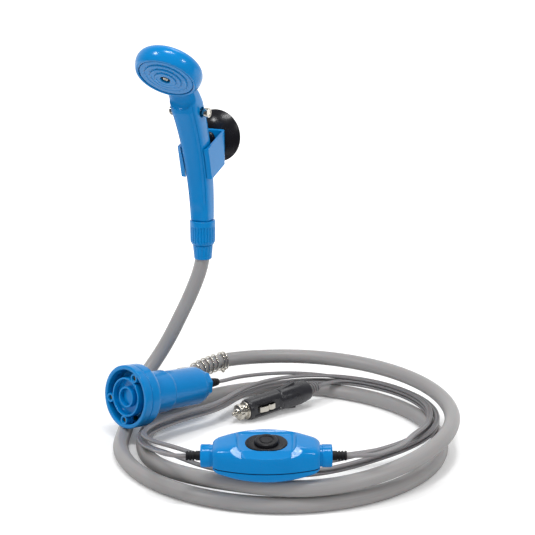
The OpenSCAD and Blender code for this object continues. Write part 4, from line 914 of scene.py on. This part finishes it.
floor_rings = lathe([(0, 7.9), (18, 7.9), (18, 6), (9.5, 6), (8.5, 5.0), (7.4, 5.0), (6.9, 4.4), (0, 4.4)],
                    (np.eye(3), np.zeros(3)), 0.3, 144)
ramp = np.arctan2(floor_rings[..., 1], floor_rings[..., 0])
hill = ease(9.6, 11, np.hypot(floor_rings[..., 0], floor_rings[..., 1])) * (floor_rings[..., 2] < 6.5)
floor_rings[..., 2] -= hill * 0.9 * (0.5 + 0.5 * np.cos(2 * ramp - 1.2))
cover_grids = [placed(floor_rings, PUMP), ring(16.5, 18.3, 0.1, 8, 0.5), ring(8, 9.8, 0.6, 8, 0.5), lathe(
    [(27, 8), (25.5, 8), (25.5, 0), (29.5, 0), (29.5, 8), (27, 8)], PUMP, 1.1, 144)]
for boss in (inside(PUMP, polar(22, math.radians(k))) for k in (205, 0, 75)):
    cover_grids += [ring(2.6, 4.3, 0.2, 8, 0.4, 48, boss), ring(1.75, 2.8, 4, 8, 0.1, 48, boss),
                    ring(4.0, 5.3, 6, 8, 0.2, 48, boss)]
make("pump_cover_moulded", cover_grids, BLUE, "set", ["inlet_cover"], 40)

# %% [markdown]
# ## Pump housing
# Behind the cover come the pump chamber with its rounded shoulder, the motor housing with a
# neck, and an eight-sided cap for a spanner. The first two are lathes. The cap is a lathe too,
# with its radius divided by the cosine of the angle from the middle of each flat, which turns a
# circle into an octagon.

# %% Pump housing
spun("pump_bell_moulded", [
    (0, 16), (26.1, 16), (26.1, 8.2), (28.2, 8.2), (28.9, 8.7), (29.3, 9.5), (29.3, 16.2), (29.0, 17.6),
    (28.2, 19.1), (26.8, 20.2), (25.4, 20.5), (0, 20.5)], PUMP, BLUE, ["pump_bell"], 0.4, 144)
spun("motor_housing_moulded", [
    (0, 20.4), (21.4, 20.4), (20.5, 21.2), (20.1, 22.6), (20, 45.2), (19.7, 46.2), (18.75, 47.2),
    (18.45, 48.2), (18.4, 87.4), (17.8, 88.6), (17, 89), (0, 89)], PUMP, BLUE, ["pump_shell"], 0.5, 144)


def eight_sided(r, z, a):
    """Beyond the round foot, each radius is divided by the cosine of the angle from the nearest flat."""
    off = (a + np.pi / 8) % (np.pi / 4) - np.pi / 8
    return np.where(z > 92.05, r / np.cos(off), r)


make("rear_cap_moulded", [
    lathe([(0, 88.8), (16.8, 88.8), (16.8, 92), (0, 92)], PUMP, 0.5, 96),
    lathe([(0, 92.1), (12.5, 92.1), (12.5, 100.2), (11.7, 101), (4.5, 101), (4.5, 99), (0, 99)],
          PUMP, 0.25, 192, eight_sided)], BLUE, "set", ["rear_cap"], 30)
gland = [(0, 97), (4.5, 97), (4.5, 104)]
for z in (104, 107, 110, 113):
    shrink = 4.5 - 1.2 * max(0, z - 109) / 10
    gland += [(3.6, z + 0.1), (3.6, z + 0.9), (shrink, z + 1), (shrink - 0.1, z + 2.9)]
spun("cable_gland_ribbed", gland + [(3.4, 118.6), (3.1, 119), (0, 119)],
     PUMP, RUBBER, ["cable_gland"], 0.15, 48)
spun("outlet_tube_moulded", [
    (0, 16), (4.2, 16), (4.2, 20.5), (4.4, 20.5), (4.4, 23.5), (4.2, 23.5), (4.2, 104), (0, 104)],
    inside(PUMP, OUTLET), BLUE, ["outlet_tube"], 0.3, 64)

# %% [markdown]
# ## Switch case
# The in-line switch is a long egg in two halves with a seam low on its side and a scooped hollow
# round the button. Each half is a loft of superellipse sections that shrink towards the ends.
# The hollow is a smooth minimum: the lower of the case's height and a shallow bowl's, blended so
# that the edge between them is a soft crease.

# %% Switch case
SEAM, CASE_HALF, CASE_WIDE, CASE_HIGH = -4.9, 44, 21, 17.5


def case_taper(x):
    """The sections shrink with the square of the distance from the middle, to 0.61 at the ends."""
    return 0.61 + 0.39 * (1 - (x / CASE_HALF) ** 2)


def case_rings(top):
    """Half of the case: superellipse sections in y and z along x, closed by a flat line at the seam."""
    x = (CASE_HALF * np.sin(np.linspace(-1, 1, 321) * np.pi / 2))[:, None]
    blunt = np.clip((np.abs(x) - 38.5) / 5.5, 0, 1)
    taper = case_taper(x) * (1 - 0.22 * (1 - np.sqrt(np.maximum(1 - blunt ** 2, 0))))
    wide, high, n = CASE_WIDE * taper, CASE_HIGH * taper, 3.8
    edge = SEAM + (0.55 if top else -0.55)
    low = np.arcsin(np.clip(-edge / high, 0, 1) ** (n / 2))
    t = np.linspace(0, 1, 201)[None]
    a = -low + t * (np.pi + 2 * low) if top else -low - t * (np.pi - 2 * low)
    y = wide * np.sign(np.cos(a)) * np.abs(np.cos(a)) ** (2 / n)
    z = high * np.sign(np.sin(a)) * np.abs(np.sin(a)) ** (2 / n)
    if top:
        side = np.maximum(np.hypot(x, 0.55 * np.minimum(y, 0)) - 17, 0) / 7.8
        bowl = (12.2 + 3.1 * side ** 4 + np.maximum(y - 11, 0) ** 2 / 16 - 0.33 * np.maximum(-y - 11.5, 0)
                - 2 * (1 - ease(10.4, 11.4, np.hypot(x, y))))
        facet = 14.4 + 0.12 * (np.abs(x) - 25) + 0.6 * (y + 10)
        for cut in (np.where(np.abs(x) > 20, facet, 99), bowl):
            z = (z + cut - np.sqrt((z - cut) ** 2 + 0.22 ** 2)) / 2
    chord = np.linspace(1, 0, 14)[None, 1:-1]
    y = np.concatenate([y, y[:, :1] * (1 - chord) + y[:, -1:] * chord], axis=1)
    z = np.concatenate([z, edge + 0 * x + 0 * chord], axis=1)
    return placed(capped(np.stack([x + 0 * y, y, z], -1)), CASE)


def collar(side):
    """A round collar on the case's end, with a soft lip."""
    line = np.array([(0, 36), (9.1, 36), (9.1, 45.6), (9.5, 46.2), (9.5, 53.2), (8.9, 54), (4.1, 54), (4.1, 52),
                     (0, 52)])
    return lathe(line * [1, side], inside(CASE, (0, 0, 0), ALONG_X), 0.5, 96)


case_top = make("switch_case_upper", [case_rings(True), collar(-1), collar(1)], BLUE, "set",
                ["switch_upper"], 42)
case_bottom = make("switch_case_lower", [case_rings(False)], BLUE, "set", ["switch_lower"], 42)
cut_out(case_bottom, [lathe([(0, -20), (3.1, -20), (3.1, -7.9), (0, -7.9)], inside(CASE, (k, 0, 0)), 0, 40)
                      for k in (-28, 28)], 42)

# %% [markdown]
# ## Seam strip, plate and button
# A dark rubber strip fills the seam between the halves; its black is painted shade, the gap's thin line.
# On top sits an oval plate with a round hole for the button. Its outline is a stadium: straight
# sides with round ends. In polar form that is one formula for each, so the plate is a lathe whose
# radius runs from the hole to the outline.

# %% Seam strip, plate and button
def stadium(a, half_length, half_width):
    """Distance from the middle to the edge: half width / |sin| on the sides, a circle's at the ends."""
    c, s, k = np.abs(np.cos(a)), np.abs(np.sin(a)), half_length - half_width
    ends = k * c + np.sqrt(np.maximum(half_width ** 2 - (k * s) ** 2, 0))
    return np.where(s * k > c * half_width, half_width / np.maximum(s, 1e-6), ends)


def oval_plate(r, z, a):
    """Radius 0 is the hole's edge and radius 1 the stadium's; between them it runs straight."""
    return 9.8 + r * (stadium(a, 17.5, 12) - 9.8)


# The dark strip set into the seam is painted shade: it draws the dark line of the gap between the halves.
x = np.linspace(-42, 42, 85)[:, None]
corner = np.array([(1, -0.7), (1, 0.7), (-1, 0.7), (-1, -0.7)])
slab = np.stack([x + 0 * corner[:, 0], (CASE_WIDE * case_taper(x) - 0.9) * corner[:, 0],
                 SEAM + corner[:, 1] + 0 * x], -1)
seam_shade_strip = make("switch_seam_shade_strip", [placed(capped(slab), CASE)], RUBBER, "set")
button_plate = spun("switch_plate_oval", [
    (0.5, 10.5), (1, 10.5), (1, 12.2), (0.93, 12.8), (0.8, 13), (0.25, 13), (0.1, 12.9), (0, 12.6), (0, 10.5),
    (0.5, 10.5)], CASE, BLACK, ["switch_plate"], 0, 192, oval_plate, sharp=40)
push_button = spun("switch_button_round", [
    (0, 7.8), (10.4, 7.8), (10.4, 10.1), (9.5, 10.1), (9.5, 14.4), (9.2, 15.1), (8.5, 15.5), (6.3, 15.45),
    (5.9, 14.7), (5, 14.7), (4.6, 15.4), (2.5, 15.3), (0, 15.2)],
    CASE, BLACK, ["switch_button"], 0.3, 96, body="button", sharp=40)

# %% [markdown]
# ## Cable reliefs
# Short rubber sleeves guard the cable where it enters the case. Three grooves near the free end
# let them bend. Each one is a lathe along the case, with a flange inside the wall.

# %% Cable reliefs
for side, word in ((-1, "left"), (1, "right")):
    line = [(0, 38.6), (5.2, 38.6), (5.2, 40.7), (4, 40.7), (4, 58)]
    for z in 58 + 2.6 * np.arange(3):
        line += [(3.2, z + 0.1), (3.2, z + 0.9), (4, z + 1), (4, z + 2.5)]
    line += [(4, 65.4), (3.7, 66), (0, 66)]
    spun(f"switch_relief_{word}", np.array(line) * [1, side], inside(CASE, (0, 0, 0), ALONG_X),
                        RUBBER, [f"relief_{word}"], 0.15, 48)

# %% [markdown]
# ## Plug body
# The plug's barrel is a cylinder with a channel on two sides, where the earth contacts stand in
# slots. Behind a step comes the fatter grip, with two fins to pull by. A lathe with a radius that
# depends on the angle gives the channels: on a flat floor, the radius is its distance divided by
# the sine. The bore holds the tip's spring and the fuse, and the slots are cut afterwards.

# %% Plug body
def flatted(r, z, a):
    """On the barrel, a channel 11 mm wide on two sides: r = 7.8 / |sin a| is a floor 7.8 mm from the axis."""
    within = 1 - ease(5.3, 5.7, np.abs(r * np.cos(a)))
    on = ease(19.4, 20.2, z) * (1 - ease(50, 52.5, z)) * (r > 9) * within
    return r - on * (r - 7.8 / np.maximum(np.abs(np.sin(a)), 0.5))


plug_body = spun("plug_body_moulded", [
    (0, 54), (3.9, 54), (3.9, 16), (9.3, 16), (10, 16.4), (10.1, 18), (10.5, 18.5), (10.5, 19.4), (10.5, 20.3),
    (10.5, 35), (10.5, 49.9), (10.5, 52.3), (10.1, 53.2), (10.1, 53.9), (10.7, 55), (10.9, 59.5), (11.2, 64),
    (11.4, 70), (11.3, 78), (10.7, 83), (9.8, 88.6), (9, 90), (0, 90)],
    PLUG, PLUG_BLACK, ["plug_body"], 0.5, 240, flatted, sharp=30)
for way in (-1, 1):
    cut_out(plug_body, [block((-2.9, 2.9), (4.8 * way, 14 * way), (24.7, 45.3), PLUG)], 30)

# %% [markdown]
# ## Fins, nose and tip
# The fins are thin wedges that rise towards the back, like barbs. The nose is turned metal:
# a hub, a knurled ring and a flange against the barrel, with the sprung tip in its middle. All
# the metal parts are lathes.

# %% Fins, nose and tip
def wedge(way):
    """A fin: rings of a rectangle that grow in height from its front to its back."""
    z, share = np.linspace(58.6, 73.4, 16), np.linspace(0, 1, 16)
    top = 10.8 + 2.8 * share
    edge = soften([(8, -2.4), (1, -2.4), (1, 2.4), (8, 2.4), (8, -2.4)], 0.0, 2)
    out = np.where(edge[None, :, 0] > 4, 8.0, top[:, None])
    thin = 1 - 0.25 * (out > 9)
    rings = np.stack([way * out, edge[None, :, 1] * thin + 0 * out, z[:, None] + 0 * out], -1)
    return placed(capped(rings), PLUG)


plug_fins = make("plug_fins_moulded", [wedge(-1), wedge(1)], PLUG_BLACK, "set")


def knurled(r, z, a):
    """Beyond 7.5 mm and in front of the flange, the rim dips 0.4 mm, eighteen times round."""
    return r - 0.4 * (0.5 + 0.5 * np.cos(18 * a)) * ease(7.5, 7.8, r) * (z < 10)


plug_nose = spun("plug_nose_turned", [
    (2.25, 12), (2.25, 4), (4.6, 4), (5, 4.5), (5, 6), (7.4, 6.3), (7.9, 6.9), (7.9, 9.3), (7.4, 9.9),
    (6.6, 10.2), (6.6, 13.9), (8.7, 14.2), (8.7, 15.7), (8.3, 16), (3.9, 16), (3.9, 12), (2.25, 12)],
    PLUG, NICKEL, ["plug_nose"], 0.2, 144, knurled)
plug_tip = spun("plug_tip_turned", [
    (0, 0), (1.5, 0), (2.2, 0.8), (2.2, 2.4), (1.55, 3), (1.55, 3.6), (2.2, 4.2), (2.2, 8.3), (3.6, 8.3),
    (3.6, 10.3), (2.2, 10.3), (2.2, 14), (0, 14)], PLUG, NICKEL, ["plug_tip"], 0.25, 64, body="tip")

# %% [markdown]
# ## Side contacts and bend relief
# Each contact is a strip of springy metal bent into an arch that stands out of its slot. A
# rectangle swept along the arch gives the strip. The bend relief behind the plug is grey vinyl
# with deep grooves, so that it bends like a bellows; again a lathe.

# %% Contacts and bend relief
for way, word in ((-1, "front"), (1, "back")):
    z = np.linspace(25.4, 44.6, 80)
    end = np.minimum(z - z[0], z[-1] - z)
    arch = 9.2 + 2.2 * np.clip(1 - (1 - end / 9.6) ** 2, 0, 1) ** 0.7 - 2.0 * (1 - ease(0, 1.2, end))
    arch = arch - 2.0 * np.exp(-((z - 36.6) / 1.5) ** 2)
    line = placed(np.stack([0 * z, way * arch, z], -1), PLUG)
    strip = soften([(-2.6, 0), (-2.6, 0.4), (2.6, 0.4), (2.6, -0.4), (-2.6, -0.4), (-2.6, 0)], 0.15, 4)[:-1]
    base = block((-2.2, 2.2), (6.7 * way, 9 * way), (27, 43), PLUG)
    make(f"side_contact_strip_{word}", [capped(swept(line, strip, PLUG[0][:, 1])), base], NICKEL,
         f"contact_{word}", [f"side_contact_{word}"])
folds = [(0, 84), (4, 84), (4, 90), (5.4, 90)]
for rise in 2.8 * np.arange(4):
    wide, z = 5.4 - 0.6 * (1.6 + rise) / 13, 91.4 + rise
    folds += [(wide, z), (3.1, z + 0.2), (3.1, z + 1.4), (wide - 0.1, z + 1.6)]
plug_relief = spun("plug_relief_bellows", folds + [(4.25, 102.6), (3.9, 103), (0, 103)],
                   PLUG, CABLE_GREY, ["plug_relief"], 0.25, 64)

# %% [markdown]
# ## Hidden springs
# The button and the tip are pushed back by small springs. They show only when the part is
# opened, but a spring is a winding, and a plain sleeve would look wrong. Both are helices of
# fine wire, in the room that the real springs have.

# %% Hidden springs
def coil_spring(radius, wire, low, high, turns, place):
    """A helix: the angle and the height grow together, and a small circle is swept along it."""
    a = np.linspace(0, 2 * np.pi * turns, 24 * turns + 1)
    line = polar(radius, a, np.linspace(low + wire, high - wire, len(a)))
    return capped(swept(placed(line, place), circle(wire, 8), place[0][:, 2]))


button_spring = make("button_spring_wound", [coil_spring(3.5, 0.4, 1.2, 5.2, 3, CASE)],
                     STEEL, "set", ["button_spring"])
tip_spring = make("tip_spring_wound", [coil_spring(3.2, 0.35, 17.4, 26, 6, PLUG)],
                  STEEL, "set", ["tip_spring"])

# %% [markdown]
# ## Finishes for the inner parts
# Some measured solids stay as they are: screws, seals, bearings and the motor inside the pump.
# Their shapes are right, so they only get their materials.

# %% Inner parts
inner = {BLACK: ["hose_tail", "impeller", "motor_brushes", "brush_plate", "switch_module"],
         RUBBER: ["plate_gasket", "pin_seals", "tail_washer", "shaft_seal"],
         STEEL: ["motor_shaft", "motor_can", "switch_screws"],
         BRASS: ["cover_screws", "front_bearing", "rear_bearing"], COPPER: ["armature", "commutator"],
         FERRITE: ["motor_magnets"], GLASS: ["plug_fuse"]}
for finish, names in inner.items():
    for name in names:
        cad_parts[name].data.materials.clear()
        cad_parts[name].data.materials.append(finish[0])
print("inner parts", sum(len(names) for names in inner.values()))

# %% [markdown]
# ## The cords
# The hose and the two cables are the cords. The switch and the plug hang on the cables.

print("cords: shower_hose, pump_cable, plug_cable")

# %% [markdown]
# ## Floor, world and lamps
# The photograph is cut out on white. A white floor keeps the soft shadow that shows where the
# hose touches it. It glows a little farther out, where the lamps no longer reach, and the world is
# white. Metal and glass show both, white behind the part and darker on the camera's side, like a
# room. As a light the world is plainer and the floor doesn't glow, so that the blue isn't washed
# out. Four small lamps give the highlights.

# %% Floor and light
BACKWARD, FLOOR, DEPTH = (-0.42, 0.91, 0), 6, -0.0004
floor_mesh = bpy.data.meshes.new("floor")
floor_mesh.from_pydata([(-FLOOR, -FLOOR, DEPTH), (FLOOR, -FLOOR, DEPTH), (FLOOR, FLOOR, DEPTH),
                        (-FLOOR, FLOOR, DEPTH)], [], [(0, 1, 2, 3)])
floor = bpy.data.objects.new("floor", floor_mesh)
bpy.context.scene.collection.objects.link(floor)
floor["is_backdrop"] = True
material, tree, shader, spot = blank("floor_white_card", Roughness=0.9, Specular_IOR_Level=0.1)
shader.inputs["Emission Color"].default_value = (1, 1, 1, 1)
rays = add(tree, "ShaderNodeLightPath", {}).outputs
behind = add(tree, "ShaderNodeVectorMath", {0: spot, 1: BACKWARD}, operation="DOT_PRODUCT")
front = add(tree, "ShaderNodeMapRange", {"Value": behind.outputs["Value"], "From Min": -0.2,
                                         "From Max": 0.15, "To Min": 1.0, "To Max": 0.0})
dim = add(tree, "ShaderNodeMath", {0: front.outputs["Result"], 1: rays["Is Glossy Ray"]},
          operation="MULTIPLY")
card = add(tree, "ShaderNodeMix", {0: dim.outputs[0], 6: linear("#f6f6f6"), 7: linear("#484848")},
           data_type="RGBA")
tree.links.new(card.outputs[2], shader.inputs["Base Color"])
reach = add(tree, "ShaderNodeVectorMath", {0: spot}, operation="LENGTH")
glow = add(tree, "ShaderNodeMapRange", {"Value": reach.outputs["Value"], "From Min": 0.25,
                                        "From Max": 1.2, "To Min": 0.14, "To Max": 0.75})
seen = add(tree, "ShaderNodeMath", {0: rays["Is Glossy Ray"], 1: rays["Is Transmission Ray"]},
           operation="MAXIMUM")
seen = add(tree, "ShaderNodeMath", {0: seen.outputs[0], 1: rays["Is Camera Ray"]}, operation="MAXIMUM")
seen = add(tree, "ShaderNodeMath", {0: seen.outputs[0], 1: dim.outputs[0]}, operation="SUBTRACT")
glow = add(tree, "ShaderNodeMath", {0: glow.outputs["Result"], 1: seen.outputs[0]}, operation="MULTIPLY")
tree.links.new(glow.outputs[0], shader.inputs["Emission Strength"])
floor_mesh.materials.append(material)

world = bpy.data.worlds.new("studio")
bpy.context.scene.world = world
world.use_nodes = True
tree = world.node_tree
tree.nodes.clear()
rays = add(tree, "ShaderNodeLightPath", {}).outputs
mirrored = add(tree, "ShaderNodeMath", {0: rays["Is Glossy Ray"], 1: rays["Is Transmission Ray"]},
               operation="MAXIMUM")
way = add(tree, "ShaderNodeTexCoord", {}).outputs["Generated"]
behind = add(tree, "ShaderNodeVectorMath", {0: way, 1: BACKWARD}, operation="DOT_PRODUCT")
shown = add(tree, "ShaderNodeMapRange", {"Value": behind.outputs["Value"], "From Min": 0.0,
                                         "From Max": 0.7, "To Min": 0.12, "To Max": 1.0})
level = add(tree, "ShaderNodeMix", {0: mirrored.outputs[0], 2: 0.62, 3: shown.outputs["Result"]},
            data_type="FLOAT")
level = add(tree, "ShaderNodeMix", {0: rays["Is Camera Ray"], 2: level.outputs[0], 3: 1.0},
            data_type="FLOAT")
sky = add(tree, "ShaderNodeBackground", {"Color": (1, 1, 1, 1), "Strength": level.outputs[0]})
add(tree, "ShaderNodeOutputWorld", {"Surface": sky.outputs[0]})

for name, power, size, depth, at in (
        ("key", 7.5, 0.55, 0.16, (0.19, -0.45, 1.5)), ("left", 5, 0.2, 0.2, (-0.65, -0.8, 1.2)),
        ("side", 3.5, 0.2, 0.2, (1.2, -0.3, 0.9)), ("back", 2.5, 0.5, 0.5, (0.0, 0.6, 1.4))):
    lamp = bpy.data.lights.new(name, "AREA")
    lamp.shape = "RECTANGLE"
    lamp.energy, lamp.size, lamp.size_y = power, size, depth
    holder = bpy.data.objects.new(name, lamp)
    holder.location = at
    holder.rotation_euler = (Vector((0, 0, 0.1)) - holder.location).to_track_quat("-Z", "Y").to_euler()
    bpy.context.scene.collection.objects.link(holder)
bpy.context.scene.view_settings.view_transform = "Standard"

# %% [markdown]
# ## Sizes
# The box round the dressed part is found and printed; the measured one's was printed at the start.
# The dressed part may stand only a little outside the measured one.

# %% Sizes
size = {"cad": cad_box, "visual": [list(corner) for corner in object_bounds()]}
print("visual box", np.round(size["visual"], 4).tolist())
